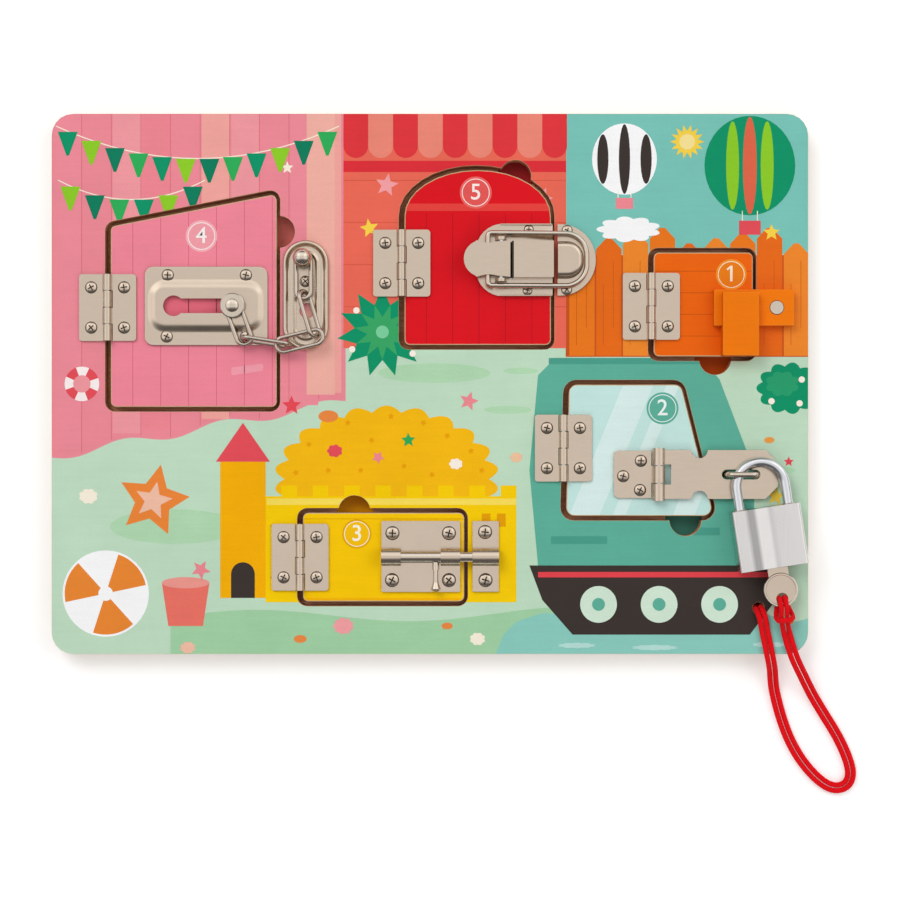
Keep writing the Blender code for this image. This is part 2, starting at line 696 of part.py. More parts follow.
# The padlock, made upright in its own frame: X across, Y along the shackle, Z through it.
case_place = on_board(CASE_PLACE_SHARES)
case_middle = FACE + SEAT_GAP + CASE_THICKNESS / 2
lie = Matrix.Translation((*case_place, case_middle)) @ Matrix.Rotation(CASE_TURN, 4, "Z")
edges = rounded(rectangle((0.0, 0.0), CASE_LENGTH, CASE_THICKNESS), CASE_EDGE)
padlock_case = prism("padlock_case", edges, -CASE_WIDTH / 2, CASE_WIDTH / 2, STEEL, along="Y")
top = CASE_WIDTH / 2
for side, depth in ((-1, SHACKLE_SHORT), (1, SHACKLE_LONG)):
    leg_bore = rod(
        "leg_bore", SHACKLE_RADIUS + RUN_GAP, (side * SHACKLE_BOW, top - depth - RUN_GAP, 0.0),
        (side * SHACKLE_BOW, top + OVERRUN, 0.0), count=20)
    combine(padlock_case, leg_bore, "DIFFERENCE")
plug_bore = rod(
    "plug_bore", PLUG_RADIUS + RUN_GAP, (KEYWAY_SHIFT, -top - OVERRUN, 0.0),
    (KEYWAY_SHIFT, -top + PLUG_DEPTH + RUN_GAP, 0.0), count=24)
combine(padlock_case, plug_bore, "DIFFERENCE")
bow_y = top + SHACKLE_RISE
shackle_path = [(SHACKLE_BOW, top - SHACKLE_LONG)]
shackle_path += circle((0.0, bow_y), SHACKLE_BOW, BOW_STEPS, 0.0, math.pi)
shackle_path += [(-SHACKLE_BOW, top - SHACKLE_SHORT)]
shackle = wire(
    "shackle", [(x, y, 0.0) for x, y in shackle_path], SHACKLE_RADIUS, STEEL, sides=4)
lock_plug = rod(
    "lock_plug", PLUG_RADIUS, (KEYWAY_SHIFT, -top, 0.0),
    (KEYWAY_SHIFT, -top + PLUG_DEPTH, 0.0), BRASS, 24)
keyway = block(
    "keyway", (KEYWAY_SHIFT - KEY_BLADE_WIDTH / 2 - RUN_GAP, KEYWAY_SHIFT + KEY_BLADE_WIDTH / 2 + RUN_GAP),
    (-top - OVERRUN, -top + KEY_BLADE_LENGTH + RUN_GAP),
    (-KEY_THICKNESS / 2 - RUN_GAP, KEY_THICKNESS / 2 + RUN_GAP))
combine(lock_plug, keyway, "DIFFERENCE")
stem_low = -top - SEAT_GAP - KEY_STEM
bow_centre = (KEYWAY_SHIFT, stem_low - KEY_BOW_RADIUS * KEY_SINK_SHARE)
half_blade, half_shoulder = KEY_BLADE_WIDTH / 2, KEY_SHOULDER / 2
key = prism(
    "key", circle(bow_centre, KEY_BOW_RADIUS, 36), -KEY_THICKNESS / 2, KEY_THICKNESS / 2, NICKEL)
key_stem = prism("key_stem", [
    (KEYWAY_SHIFT - half_shoulder, stem_low - KEY_STEM), (KEYWAY_SHIFT + half_shoulder, stem_low - KEY_STEM),
    (KEYWAY_SHIFT + half_shoulder, stem_low + KEY_STEM), (KEYWAY_SHIFT + half_blade, stem_low + KEY_STEM),
    (KEYWAY_SHIFT + half_blade, -top + KEY_BLADE_LENGTH), (KEYWAY_SHIFT - half_blade, -top + KEY_BLADE_LENGTH),
    (KEYWAY_SHIFT - half_blade, stem_low + KEY_STEM), (KEYWAY_SHIFT - half_shoulder, stem_low + KEY_STEM),
], -KEY_THICKNESS / 2, KEY_THICKNESS / 2)
combine(key, key_stem, "UNION")
key_hole = (bow_centre[0], bow_centre[1] - KEY_HOLE_SHIFT)
combine(
    key,
    rod("key_hole", KEY_HOLE_RADIUS, (*key_hole, -KEY_THICKNESS), (*key_hole, KEY_THICKNESS), count=24),
    "DIFFERENCE")
for piece in (padlock_case, lock_plug, key):
    settle(piece)
for piece in (padlock_case, shackle, lock_plug, key):
    piece.matrix_world = lie
shackle_pivot = pivot_at("shackle_axis", lie @ Vector((0.0, bow_y, 0.0)))
key_pivot = pivot_at("key_axis", lie @ Vector((KEYWAY_SHIFT, -top, 0.0)))
hang(key_pivot, [key, lock_plug])
hang(shackle_pivot, [shackle, padlock_case, key_pivot])

# Door 3: the bolt runs in two guides that stand on its plate, into a keeper on the frame.
bolt_x, bolt_y = on_door(3, BOLT_PLACE_SHARES)
bolt_plate_x = (bolt_x - BOLT_PLATE_LENGTH / 2, bolt_x + BOLT_PLATE_LENGTH / 2)
bolt_plate_y = (bolt_y - BOLT_PLATE_WIDTH / 2, bolt_y + BOLT_PLATE_WIDTH / 2)
plate_z = (FACE + SEAT_GAP, FACE + SEAT_GAP + PLATE)
bolt_axis = plate_z[1] + RUN_GAP + BOLT_RADIUS
inner, outer = BOLT_RADIUS + RUN_GAP, BOLT_RADIUS + RUN_GAP + GUIDE_WALL
guide = (
    [(bolt_y + outer, plate_z[1] - PLATE / 2)] + circle((bolt_y, bolt_axis), outer, 13, 0.0, math.pi)
    + [(bolt_y - outer, plate_z[1] - PLATE / 2), (bolt_y - inner, plate_z[1] - PLATE / 2)]
    + circle((bolt_y, bolt_axis), inner, 13, math.pi, -math.pi)
    + [(bolt_y + inner, plate_z[1] - PLATE / 2)]
)
bolt_plate = block("bolt_plate", bolt_plate_x, bolt_plate_y, plate_z, NICKEL)
for low in (bolt_plate_x[0], bolt_plate_x[1] - GUIDE_LENGTH):
    combine(bolt_plate, prism("bolt_guide", guide, low, low + GUIDE_LENGTH, along="X"), "UNION")
keeper_x = (bolt_plate_x[1] + KEEPER_STEP, bolt_plate_x[1] + KEEPER_STEP + KEEPER_LENGTH)
keeper = block("keeper", keeper_x, bolt_plate_y, plate_z, NICKEL)
combine(keeper, prism("keeper_guide", guide, *keeper_x, along="X"), "UNION")
bolt_tip = bolt_plate_x[1] + BOLT_TIP
bolt_rod = rod(
    "bolt_rod", BOLT_RADIUS, (bolt_tip - BOLT_LENGTH, bolt_y, bolt_axis),
    (bolt_tip, bolt_y, bolt_axis), STEEL, 24)
handle_x = bolt_plate_x[1] - HANDLE_BACK
handle_end = bolt_y - BOLT_RADIUS - HANDLE_LENGTH
handle = turned("handle", [
    (HANDLE_NECK, 0.0), (HANDLE_NECK, HANDLE_LENGTH + BOLT_RADIUS / 2 - HANDLE_FLARE),
    (HANDLE_END, HANDLE_LENGTH + BOLT_RADIUS / 2), (HANDLE_NECK, HANDLE_LENGTH + BOLT_RADIUS)],
    (0.0, 0.0, 0.0), count=16)
handle.data.transform(
    Matrix.Translation((handle_x, bolt_y, bolt_axis)) @ Matrix.Rotation(math.pi / 2, 4, "X"))
combine(bolt_rod, handle, "UNION")
bolt_pivot = pivot_at("bolt_slide", (handle_x, bolt_y, bolt_axis))
hang(bolt_pivot, [bolt_rod])
hang(hinge_pivots[3], [bolt_plate, bolt_pivot])

# Door 4: the raised track with its keyhole, open to the door behind.
track_x, track_y = on_door(4, TRACK_PLACE_SHARES)
track_plate = prism(
    "track_plate", rounded(rectangle((track_x, track_y), TRACK_LENGTH, TRACK_WIDTH), TRACK_CORNER),
    *plate_z, NICKEL)
raised = rounded(rectangle((track_x, track_y), RAISED_LENGTH, RAISED_WIDTH), TRACK_CORNER)
raised_top = FACE + RAISED_LIFT
combine(track_plate, prism("raised", raised, plate_z[0] + PLATE / 2, raised_top), "UNION")
combine(
    track_plate,
    prism("hollow", inset(rectangle((track_x, track_y), RAISED_LENGTH, RAISED_WIDTH), RAISED_WALL),
          FACE - OVERRUN, raised_top - RAISED_WALL),
    "DIFFERENCE")
keyhole_x = track_x - KEYHOLE_SHIFT
combine(
    track_plate,
    rod("keyhole", KEYHOLE_RADIUS, (keyhole_x, track_y, FACE - OVERRUN),
        (keyhole_x, track_y, raised_top + OVERRUN), count=24),
    "DIFFERENCE")
track_slot_length = KEYHOLE_SHIFT + TRACK_SLOT_END
combine(
    track_plate,
    prism("track_slot", stadium((keyhole_x + track_slot_length / 2, track_y),
                                track_slot_length, TRACK_SLOT),
          FACE - OVERRUN, raised_top + OVERRUN),
    "DIFFERENCE")
hang(hinge_pivots[4], [track_plate])

# The slider: a foot behind the slot, a neck that the first link lies round, a washer and a head.
slider_x = keyhole_x + SLIDER_TRAVEL
neck_top = RAISED_LIFT + SEAT_GAP + 2 * LINK_WIRE + SEAT_GAP
chain_slider = turned("chain_slider", [
    (SLIDER_FOOT_RADIUS, SEAT_GAP), (SLIDER_FOOT_RADIUS, SEAT_GAP + SLIDER_FOOT),
    (SLIDER_NECK_RADIUS, SEAT_GAP + SLIDER_FOOT), (SLIDER_NECK_RADIUS, neck_top),
    (WASHER_RADIUS, neck_top), (WASHER_RADIUS, neck_top + WASHER_THICKNESS),
    (SLIDER_HEAD_RADIUS, neck_top + WASHER_THICKNESS),
    (SLIDER_HEAD_RADIUS * HEAD_TAPER_SHARE, neck_top + WASHER_THICKNESS + SLIDER_HEAD),
], (slider_x, track_y, FACE), NICKEL, 28)

# The plate and the knob that hold the chain's other end.
post_x, post_y = on_board(POST_PLACE_SHARES)


def upright_stadium(grow):
    """The post plate's outline, drawn in by grow, long along Y."""
    outline = stadium((0.0, 0.0), POST_WIDTH - 2 * grow, POST_LENGTH - 2 * grow, 12)
    return [(post_x - y, post_y + x) for x, y in outline]


post_plate = prism("post_plate", upright_stadium(0.0), plate_z[0], FACE + POST_RIM_LIFT, NICKEL)
combine(
    post_plate,
    prism("post_dish", upright_stadium(POST_RIM), plate_z[1], FACE + POST_RIM_LIFT + OVERRUN),
    "DIFFERENCE")
post_hole = (post_x + POST_LENGTH * POST_HOLE_SHARES[0], post_y + POST_WIDTH * POST_HOLE_SHARES[1])
combine(
    post_plate,
    rod("post_hole", POST_HOLE_RADIUS, (*post_hole, FACE - OVERRUN), (*post_hole, FACE + OVERRUN), count=24),
    "DIFFERENCE")
knob_place = (post_x + POST_LENGTH * KNOB_SHARES[0], post_y + POST_WIDTH * KNOB_SHARES[1])
knob_low = plate_z[1] + SEAT_GAP
knob_middle = KNOB_NECK + KNOB_RADIUS * (1 - KNOB_SINK_SHARE)
ball = [
    (KNOB_RADIUS * math.sin(math.pi * i / KNOB_STEPS), knob_middle - KNOB_RADIUS * math.cos(math.pi * i / KNOB_STEPS))
    for i in range(2, KNOB_STEPS)
]
post_knob = turned(
    "post_knob", [(KNOB_NECK_RADIUS, 0.0), (KNOB_NECK_RADIUS, KNOB_NECK)] + ball
    + [(0.0, knob_middle + KNOB_RADIUS)],
    (*knob_place, knob_low), NICKEL, 24)

# The chain: each link by its middle, as shares of a link's length from the slider and above the
# face, by the way it runs and dips, and by how far it is rolled about its own length.
LINK_SHARES = [
    ((0.110, -0.311, 0.180), (0.347, -0.937, 0.048), 0.0),
    ((0.652, -0.700, 0.250), (0.988, -0.153, 0.023), 1.37),
    ((1.294, -0.682, 0.263), (0.971, 0.232, 0.062), -0.01),
    ((1.479, -0.164, 0.243), (0.286, -0.955, 0.077), -0.89),
    ((1.359, 0.586, 0.162), (-0.014, 0.993, -0.119), -0.01),
]


def link_path(place, run, roll):
    """A link's wire: two straight sides and two round ends, in its own plane."""
    along = Vector(run).normalized()
    side = along.cross(Vector((0, 0, 1))).normalized()
    side = Matrix.Rotation(roll, 3, along) @ side
    half_width = LINK_WIDTH / 2 - LINK_WIRE
    outline = stadium((0.0, 0.0), LINK_LENGTH - 2 * LINK_WIRE, 2 * half_width, 9)
    middle = Vector((slider_x, track_y, FACE)) + Vector(place) * LINK_LENGTH
    return [middle + along * a + side * b for a, b in outline]


for i, (place, run, roll) in enumerate(LINK_SHARES):
    wire(f"chain_link_{i + 1}", link_path(place, run, roll), LINK_WIRE, STEEL, closed=True)
slider_pivot = pivot_at("chain_slide", (slider_x, track_y, FACE))
hang(slider_pivot, [chain_slider])

# Door 5: the toggle latch stands on its base plate, between two lugs.
toggle_x, toggle_y = on_door(5, TOGGLE_PLACE_SHARES)
toggle_axis = FACE + TOGGLE_PIVOT_LIFT
base_left = toggle_x - TOGGLE_BASE_BACK
base_right = base_left + TOGGLE_BASE_LENGTH
base_half = TOGGLE_BASE_WIDTH / 2
base_outline = rounded([
    (base_left, toggle_y - base_half + TOGGLE_BASE_TAPER),
    (base_left + TOGGLE_BASE_TAPER, toggle_y - base_half), (base_right, toggle_y - base_half),
    (base_right, toggle_y + base_half), (base_left + TOGGLE_BASE_TAPER, toggle_y + base_half),
    (base_left, toggle_y + base_half - TOGGLE_BASE_TAPER)], PLATE)
latch_base = prism("latch_base", base_outline, *plate_z, NICKEL)
box_left = toggle_x + TOGGLE_BOX_STEP
combine(
    latch_base,
    block("latch_box", (box_left, box_left + TOGGLE_BOX_LENGTH),
          (toggle_y - TOGGLE_BOX_WIDTH / 2, toggle_y + TOGGLE_BOX_WIDTH / 2),
          (plate_z[1] - PLATE / 2, FACE + TOGGLE_BOX_HEIGHT)),
    "UNION")
lug_low = plate_z[1] - PLATE / 2 - toggle_axis
lug = [(-LUG_FOOT, lug_low), (LUG_FOOT, lug_low)]
lug += circle((0.0, 0.0), LUG_RADIUS, 11, 0.0, math.pi)
lug_start = LEVER_WIDTH / 2 + RUN_GAP
for side in (-1, 1):
    ends = sorted((toggle_y + side * lug_start, toggle_y + side * (lug_start + LUG_THICKNESS)))
    combine(
        latch_base,
        prism("lug", [(toggle_x + x, toggle_axis + z) for x, z in lug], *ends, along="Y"), "UNION")
combine(
    latch_base,
    rod("lug_bore", TOGGLE_PIN_RADIUS + RUN_GAP, (toggle_x, toggle_y - TOGGLE_BASE_WIDTH / 2, toggle_axis),
        (toggle_x, toggle_y + TOGGLE_BASE_WIDTH / 2, toggle_axis), count=16),
    "DIFFERENCE")
pin_reach = lug_start + LUG_THICKNESS
lever_pin = rod(
    "lever_pin", TOGGLE_PIN_RADIUS, (toggle_x, toggle_y - pin_reach, toggle_axis),
    (toggle_x, toggle_y + pin_reach, toggle_axis), STEEL, 16)

# The lever: a waisted skin over two cheeks that turn on the pin and carry the bail.
half = LEVER_WIDTH / 2
waist = half * (1 - LEVER_WAIST_SHARE)
upper_side = [
    (-LEVER_BACK * share, half - (half - waist) * math.sin(math.pi * share / WAIST_END_SHARE))
    for share in WAIST_SHARES
]
lever_outline = (
    [(LEVER_FRONT, -half), (LEVER_FRONT, half)] + upper_side
    + circle((-LEVER_BACK + half, 0.0), half, 11, math.pi * 0.62, math.pi * 0.76)
    + [(x, -y) for x, y in upper_side[::-1]]
)
latch_lever = prism(
    "latch_lever", [(toggle_x + x, toggle_y + y) for x, y in lever_outline],
    toggle_axis + LEVER_SKIN_LIFT, toggle_axis + LEVER_SKIN_LIFT + LEVER_SKIN, NICKEL)
cheek_radius = TOGGLE_PIN_RADIUS + RUN_GAP + PLATE
bail_boss = cheek_radius + SEAT_GAP
skin_middle = LEVER_SKIN_LIFT + LEVER_SKIN / 2
cheek = (
    [(cheek_radius, skin_middle), (-BAIL_BACK - bail_boss, skin_middle)]
    + circle((-BAIL_BACK, 0.0), bail_boss, 7, math.pi, math.pi / 2)
    + circle((0.0, 0.0), cheek_radius, 7, -math.pi / 2, math.pi / 2)
)
cheek_face = waist - CHEEK_INSET
for side in (-1, 1):
    ends = sorted((toggle_y + side * cheek_face, toggle_y + side * (cheek_face - PLATE)))
    combine(
        latch_lever,
        prism("cheek", [(toggle_x + x, toggle_axis + z) for x, z in cheek], *ends, along="Y"), "UNION")
for x, radius in ((0.0, TOGGLE_PIN_RADIUS), (-BAIL_BACK, BAIL_WIRE)):
    combine(
        latch_lever,
        rod("cheek_bore", radius + RUN_GAP, (toggle_x + x, toggle_y - LEVER_WIDTH, toggle_axis),
            (toggle_x + x, toggle_y + LEVER_WIDTH, toggle_axis), count=16),
        "DIFFERENCE")

# The bail: one wire from cheek to cheek, round the catch and sloping down to it.
bail_x = toggle_x - BAIL_BACK
bail_inner = cheek_face - PLATE
bail_plan = rounded([
    (0.0, -BAIL_SPAN / 2), (BAIL_ARM, -BAIL_SPAN / 2), (BAIL_ARM, BAIL_SPAN / 2), (0.0, BAIL_SPAN / 2)],
    BAIL_CORNER, (1, 2), 8)
bail_plan = [(0.0, -bail_inner)] + bail_plan + [(0.0, bail_inner)]
latch_bail = wire("latch_bail", [
    (bail_x + x, toggle_y + y, toggle_axis - BAIL_DROP * x / BAIL_ARM) for x, y in bail_plan
], BAIL_WIRE, STEEL, sides=3)

# The catch on the frame: a half disc under a blunt nose.
catch_x = toggle_x + CATCH_STEP
catch_outline = [
    (max(x, catch_x), y)
    for x, y in circle((catch_x + CATCH_LENGTH - CATCH_RADIUS, toggle_y), CATCH_RADIUS, 19,
                       -math.pi * 0.52, math.pi * 1.04)
]
catch = prism("catch", catch_outline, *plate_z, NICKEL)
nose = rounded(
    rectangle((catch_x + DOME_LENGTH / 2, toggle_y), DOME_LENGTH, DOME_WIDTH), DOME_CORNER, (1, 2))
combine(catch, prism("nose", nose, plate_z[1] - PLATE / 2, FACE + DOME_HEIGHT), "UNION")
bail_pivot = pivot_at("bail_axis", (bail_x, toggle_y, toggle_axis))
lever_pivot = pivot_at("lever_axis", (toggle_x, toggle_y, toggle_axis))
hang(bail_pivot, [latch_bail])
hang(lever_pivot, [latch_lever, bail_pivot])
hang(hinge_pivots[5], [latch_base, lever_pin, lever_pivot])

# The cord: out of the hole, along one side of its route to the key, through the key's hole, round
# both strands and back through it, and home along the other side.
CORD_ROUTE = [
    (0.1520, -0.1037, 0.0040), (0.1520, -0.1037, 0.0085), (0.1522, -0.1043, 0.0128),
    (0.1534, -0.1080, 0.0148), (0.1548, -0.1145, 0.0135), (0.1572, -0.1262, 0.0134),
    (0.1590, -0.1330, 0.0080), (0.1605, -0.1417, 0.0026), (0.1632, -0.1526, 0.0015),
    (0.1670, -0.1636, 0.0014), (0.1721, -0.1734, 0.0014), (0.1785, -0.1816, 0.0014),
    (0.1850, -0.1870, 0.0014), (0.1905, -0.1885, 0.0014), (0.1949, -0.1865, 0.0014),
    (0.1965, -0.1816, 0.0014), (0.1949, -0.1745, 0.0014), (0.1905, -0.1647, 0.0014),
    (0.1845, -0.1548, 0.0016), (0.1785, -0.1450, 0.0030), (0.1730, -0.1352, 0.0085),
    (0.1683, -0.1264, 0.0138), (0.1655, -0.1175, 0.0136), (0.1640, -0.1125, 0.0158),
    (0.1629, -0.1075, 0.0187),
]
KNOT_ROUTE = [
    (0.0, -0.0046, 0.0091), (0.0, -0.0014, 0.0094), (0.0, 0.0002, 0.0080), (0.0, 0.0004, 0.0058),
    (-0.0002, -0.0012, 0.0043), (-0.0014, -0.0046, 0.0040), (-0.0024, -0.0080, 0.0052),
    (-0.0020, -0.0096, 0.0078), (-0.0004, -0.0099, 0.0092),
]

route = smooth_curve(CORD_ROUTE, 2)
there, back = [], []
for i, point in enumerate(route):
    ahead = route[min(i + 1, len(route) - 1)] - route[max(i - 1, 0)]
    across = Vector((ahead.y, -ahead.x, 0.0))
    across = across.normalized() if across.length > CORD_RADIUS / 2 else Vector((1.0, 0.0, 0.0))
    if i < 3:
        across = Vector((-1.0, 0.0, 0.0))
    there.append(point - across * CORD_HALF_GAP)
    back.append(point + across * CORD_HALF_GAP)
hole_place = lie @ Vector((*key_hole, 0.0))
turn = Matrix.Rotation(CASE_TURN, 3, "Z")
knot = []
for side, order in ((-1, 1), (1, -1)):
    half_knot = [
        Vector((hole_place.x, hole_place.y, FACE))
        + turn @ Vector((side * (KNOT_HALF_GAP - x), y, z))
        for x, y, z in KNOT_ROUTE
    ]
    knot += smooth_curve(half_knot, 2)[::order]
cord = wire("cord", there + knot + back[::-1], CORD_RADIUS, RED_CORD)
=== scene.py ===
import math

import bmesh
import bpy
from mathutils import Matrix, Vector


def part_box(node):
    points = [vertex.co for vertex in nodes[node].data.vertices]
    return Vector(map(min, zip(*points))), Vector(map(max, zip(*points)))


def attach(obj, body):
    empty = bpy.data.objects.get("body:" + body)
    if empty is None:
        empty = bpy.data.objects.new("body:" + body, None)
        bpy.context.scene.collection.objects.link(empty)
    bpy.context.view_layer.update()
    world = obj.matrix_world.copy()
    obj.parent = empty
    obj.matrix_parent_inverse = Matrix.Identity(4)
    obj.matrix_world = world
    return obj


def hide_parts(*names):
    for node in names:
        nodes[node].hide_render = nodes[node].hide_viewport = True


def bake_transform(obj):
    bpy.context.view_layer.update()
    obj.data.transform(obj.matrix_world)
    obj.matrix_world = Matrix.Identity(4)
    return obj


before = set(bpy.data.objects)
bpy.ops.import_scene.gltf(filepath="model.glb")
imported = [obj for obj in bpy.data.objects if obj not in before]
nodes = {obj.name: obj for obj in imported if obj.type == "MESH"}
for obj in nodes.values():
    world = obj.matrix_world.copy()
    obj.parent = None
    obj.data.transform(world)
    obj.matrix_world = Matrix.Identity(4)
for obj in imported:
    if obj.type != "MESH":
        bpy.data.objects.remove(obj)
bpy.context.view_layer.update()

bpy.ops.object.select_all(action="DESELECT")
for name in ("Cube", "Light", "Camera"):
    if name in bpy.data.objects and name not in nodes:
        bpy.data.objects.remove(bpy.data.objects[name])


# The camera looks straight down on the toy, which lies flat, from about a
# metre up and a little right of and below the board's middle.
bpy.ops.object.camera_add(location=(0.0116, -0.0329, 1.006), rotation=(0, 0, 0))
camera = bpy.context.object
camera.data.lens = 85
camera.data.sensor_width = 36
camera.data.clip_start = 0.05
bpy.context.scene.camera = camera


# The red cord is limp and braided, 2.6 mm thick and doubled. It goes down the
# hole in the board, over its front edge and along the table, and is tied in a
# lark's head through the key's bow.
CORD_RADIUS = 0.0013
STRAND_GAP = 0.00134
BRAID_STEP = 0.0004
BRAID_PITCH, BRAID_FLOOR, BRAID_RISE = 0.0032, 0.95, 0.06
FACE = 0.012
CORD_HOLE = (0.1520, -0.1037)
KEY_HOLE = (0.16184, -0.0989)
LEAN = math.radians(8.7)
LOOP_TURN = 17
ROUTE = (
    (*CORD_HOLE, 0.0040), (*CORD_HOLE, 0.0085), (0.1522, -0.1043, 0.0128),
    (0.1534, -0.1080, 0.0148), (0.1548, -0.1145, 0.0135), (0.1572, -0.1262, 0.0134),
    (0.1590, -0.1330, 0.0080), (0.1605, -0.1417, 0.0026), (0.1632, -0.1526, 0.0015),
    (0.1670, -0.1636, 0.0014), (0.1721, -0.1734, 0.0014), (0.1785, -0.1816, 0.0014),
    (0.1850, -0.1870, 0.0014), (0.1905, -0.1885, 0.0014), (0.1949, -0.1865, 0.0014),
    (0.1965, -0.1816, 0.0014), (0.1949, -0.1745, 0.0014), (0.1905, -0.1647, 0.0014),
    (0.1845, -0.1548, 0.0016), (0.1785, -0.1450, 0.0030), (0.1730, -0.1352, 0.0085),
    (0.1683, -0.1264, 0.0138), (0.1655, -0.1175, 0.0136), (0.1640, -0.1125, 0.0158),
    (0.1629, -0.1075, 0.0187),
)
KNOT = (
    (0, -0.0046, 0.0091), (0, -0.0014, 0.0094), (0, 0.0002, 0.0080),
    (0, 0.0004, 0.0058), (-0.0002, -0.0012, 0.0043), (-0.0014, -0.0046, 0.0040),
    (-0.0024, -0.0080, 0.0052), (-0.0020, -0.0096, 0.0078), (-0.0004, -0.0099, 0.0092),
)


def flowing(points, per_span):
    """A Catmull-Rom line through the points, as part.py lays its cord."""
    points = [Vector(p) for p in points]
    line = []
    for i in range(len(points) - 1):
        before, here = points[max(i - 1, 0)], points[i]
        there, after = points[i + 1], points[min(i + 2, len(points) - 1)]
        for k in range(per_span):
            t = k / per_span
            line.append(
                0.5 * (2 * here + (there - before) * t
                       + (2 * before - 5 * here + 4 * there - after) * t * t
                       + (3 * here - before - 3 * there + after) * t ** 3)
            )
    return line + [points[-1]]


def evenly(line, step):
    """The line again, with its points one step apart."""
    out, left = [line[0]], step
    for a, b in zip(line, line[1:]):
        run = (b - a).length
        while left < run:
            out.append(a.lerp(b, left / run))
            left += step
        left -= run
    return out + [line[-1]]


def shown(name, data):
    """A new object in the scene that holds that mesh or curve."""
    piece = bpy.data.objects.new(name, data)
    bpy.context.scene.collection.objects.link(piece)
    return piece


def built(name, made):
    """A new object in the scene with the mesh that was made."""
    mesh = bpy.data.meshes.new(name)
    made.to_mesh(mesh)
    made.free()
    return shown(name, mesh)


def braided(name, line, radius, sides=16):
    """A round tube along the line, its surface pressed into plaited strands."""
    made = bmesh.new()
    twist = made.loops.layers.uv.new("UVMap")
    normal = Vector((0, 0, 1))
    rings, run = [], 0.0
    for i, here in enumerate(line):
        ahead = (line[min(i + 1, len(line) - 1)] - line[max(i - 1, 0)]).normalized()
        normal = (normal - ahead * normal.dot(ahead)).normalized()
        side = ahead.cross(normal)
        if i:
            run += (here - line[i - 1]).length
        ring = []
        for k in range(sides):
            turn = 2 * math.pi * k / sides
            lay = 2 * math.pi * run / BRAID_PITCH
            weave = math.sin(4 * turn + lay) * math.sin(4 * turn - lay)
            far = radius * (BRAID_FLOOR + BRAID_RISE * weave)
            ring.append(made.verts.new(
                here + (normal * math.cos(turn) + side * math.sin(turn)) * far))
        rings.append((ring, run))
    for (a, low), (b, high) in zip(rings, rings[1:]):
        for k in range(sides):
            n = (k + 1) % sides
            face = made.faces.new((a[k], a[n], b[n], b[k]))
            face.smooth = True
            for loop, uv in zip(face.loops, (
                    (k / sides, low), ((k + 1) / sides, low),
                    ((k + 1) / sides, high), (k / sides, high))):
                loop[twist].uv = uv
    made.faces.new(rings[0][0][::-1])
    made.faces.new(rings[-1][0])
    bmesh.ops.recalc_face_normals(made, faces=made.faces)
    return built(name, made)


def node_of(tree, kind, **values):
    """One shader node with its inputs or settings filled in."""
    node = tree.nodes.new("ShaderNode" + kind)
    for key, value in values.items():
        if key in node.inputs:
            node.inputs[key].default_value = value
        else:
            setattr(node, key, value)
    return node


def linked(tree, *links):
    """Links between nodes, each from a node's output to a node's input."""
    for source, output, target, into in links:
        tree.links.new(source.outputs[output], target.inputs[into])


def blank_material(name, colour, roughness, metallic=0.0):
    """A material with its shader set, and the tree and shader to build on."""
    material = bpy.data.materials.new(name)
    material.use_nodes = True
    tree = material.node_tree
    shader = tree.nodes["Principled BSDF"]
    shader.inputs["Base Color"].default_value = (*colour, 1)
    shader.inputs["Roughness"].default_value = roughness
    shader.inputs["Metallic"].default_value = metallic
    material.diffuse_color = (*colour, 1)
    return material, tree, shader


def shade_of(code):
    """A colour written as hex, in the linear values a shader takes."""
    parts = [int(code[i:i + 2], 16) / 255 for i in (0, 2, 4)]
    return tuple(c / 12.92 if c < 0.04045 else ((c + 0.055) / 1.055) ** 2.4
                 for c in parts)


def ramp_of(tree, *stops):
    """A colour ramp, each stop a place with a grey or a hex colour."""
    node = node_of(tree, "ValToRGB")
    line = node.color_ramp.elements
    for i, (at, value) in enumerate(stops):
        stop = line[i] if i < 2 else line.new(at)
        stop.position = at
        stop.color = (*(shade_of(value) if isinstance(value, str) else [value] * 3), 1)
    return node


cord_red, tree, shader = blank_material("Red braided cord", shade_of("f00c16"), 0.7)
shader.inputs["Specular IOR Level"].default_value = 0.1
shader.inputs["Sheen Weight"].default_value = 0.04
uv = node_of(tree, "TexCoord")
map_uv = node_of(tree, "Mapping", Scale=(8, 620, 1))
strand_wave = node_of(tree, "TexWave", wave_type="BANDS",
                      bands_direction="DIAGONAL", Scale=0.9, Distortion=0.6)
fibre = node_of(tree, "TexNoise", Scale=9000.0, Detail=3.0)
# The strands are painted darker where the weave's bump is low: painted shade in the grooves
# between them.
tone = ramp_of(tree, (0.0, "d80410"), (1.0, "ff1620"))
bump = node_of(tree, "Bump", Strength=0.35, Distance=0.0002)
both = node_of(tree, "Math", operation="ADD")
linked(tree, (uv, "UV", map_uv, "Vector"), (map_uv, "Vector", strand_wave, "Vector"),
       (uv, "Object", fibre, "Vector"), (strand_wave, "Fac", both, 0),
       (fibre, "Fac", both, 1), (both, "Value", bump, "Height"),
       (strand_wave, "Fac", tone, "Fac"), (tone, "Color", shader, "Base Color"),
       (bump, "Normal", shader, "Normal"))

middle = flowing(ROUTE, 2)
across = []
for i, here in enumerate(middle):
    ahead = middle[min(i + 1, len(middle) - 1)] - middle[max(i - 1, 0)]
    flat = Vector((ahead.y, -ahead.x, 0))
    if i < 3 or flat.length < 1e-6:
        flat = Vector((-1, 0, 0))
    across.append(flat.normalized())


def knot_side(side):
    """One strand's way up to, through and round the key's bow."""
    there = []
    for x, y, z in flowing(KNOT, 3):
        x = side * (CORD_RADIUS - x)
        there.append(Vector((
            KEY_HOLE[0] + x * math.cos(LEAN) - y * math.sin(LEAN),
            KEY_HOLE[1] + x * math.sin(LEAN) + y * math.cos(LEAN), FACE + z)))
    return there


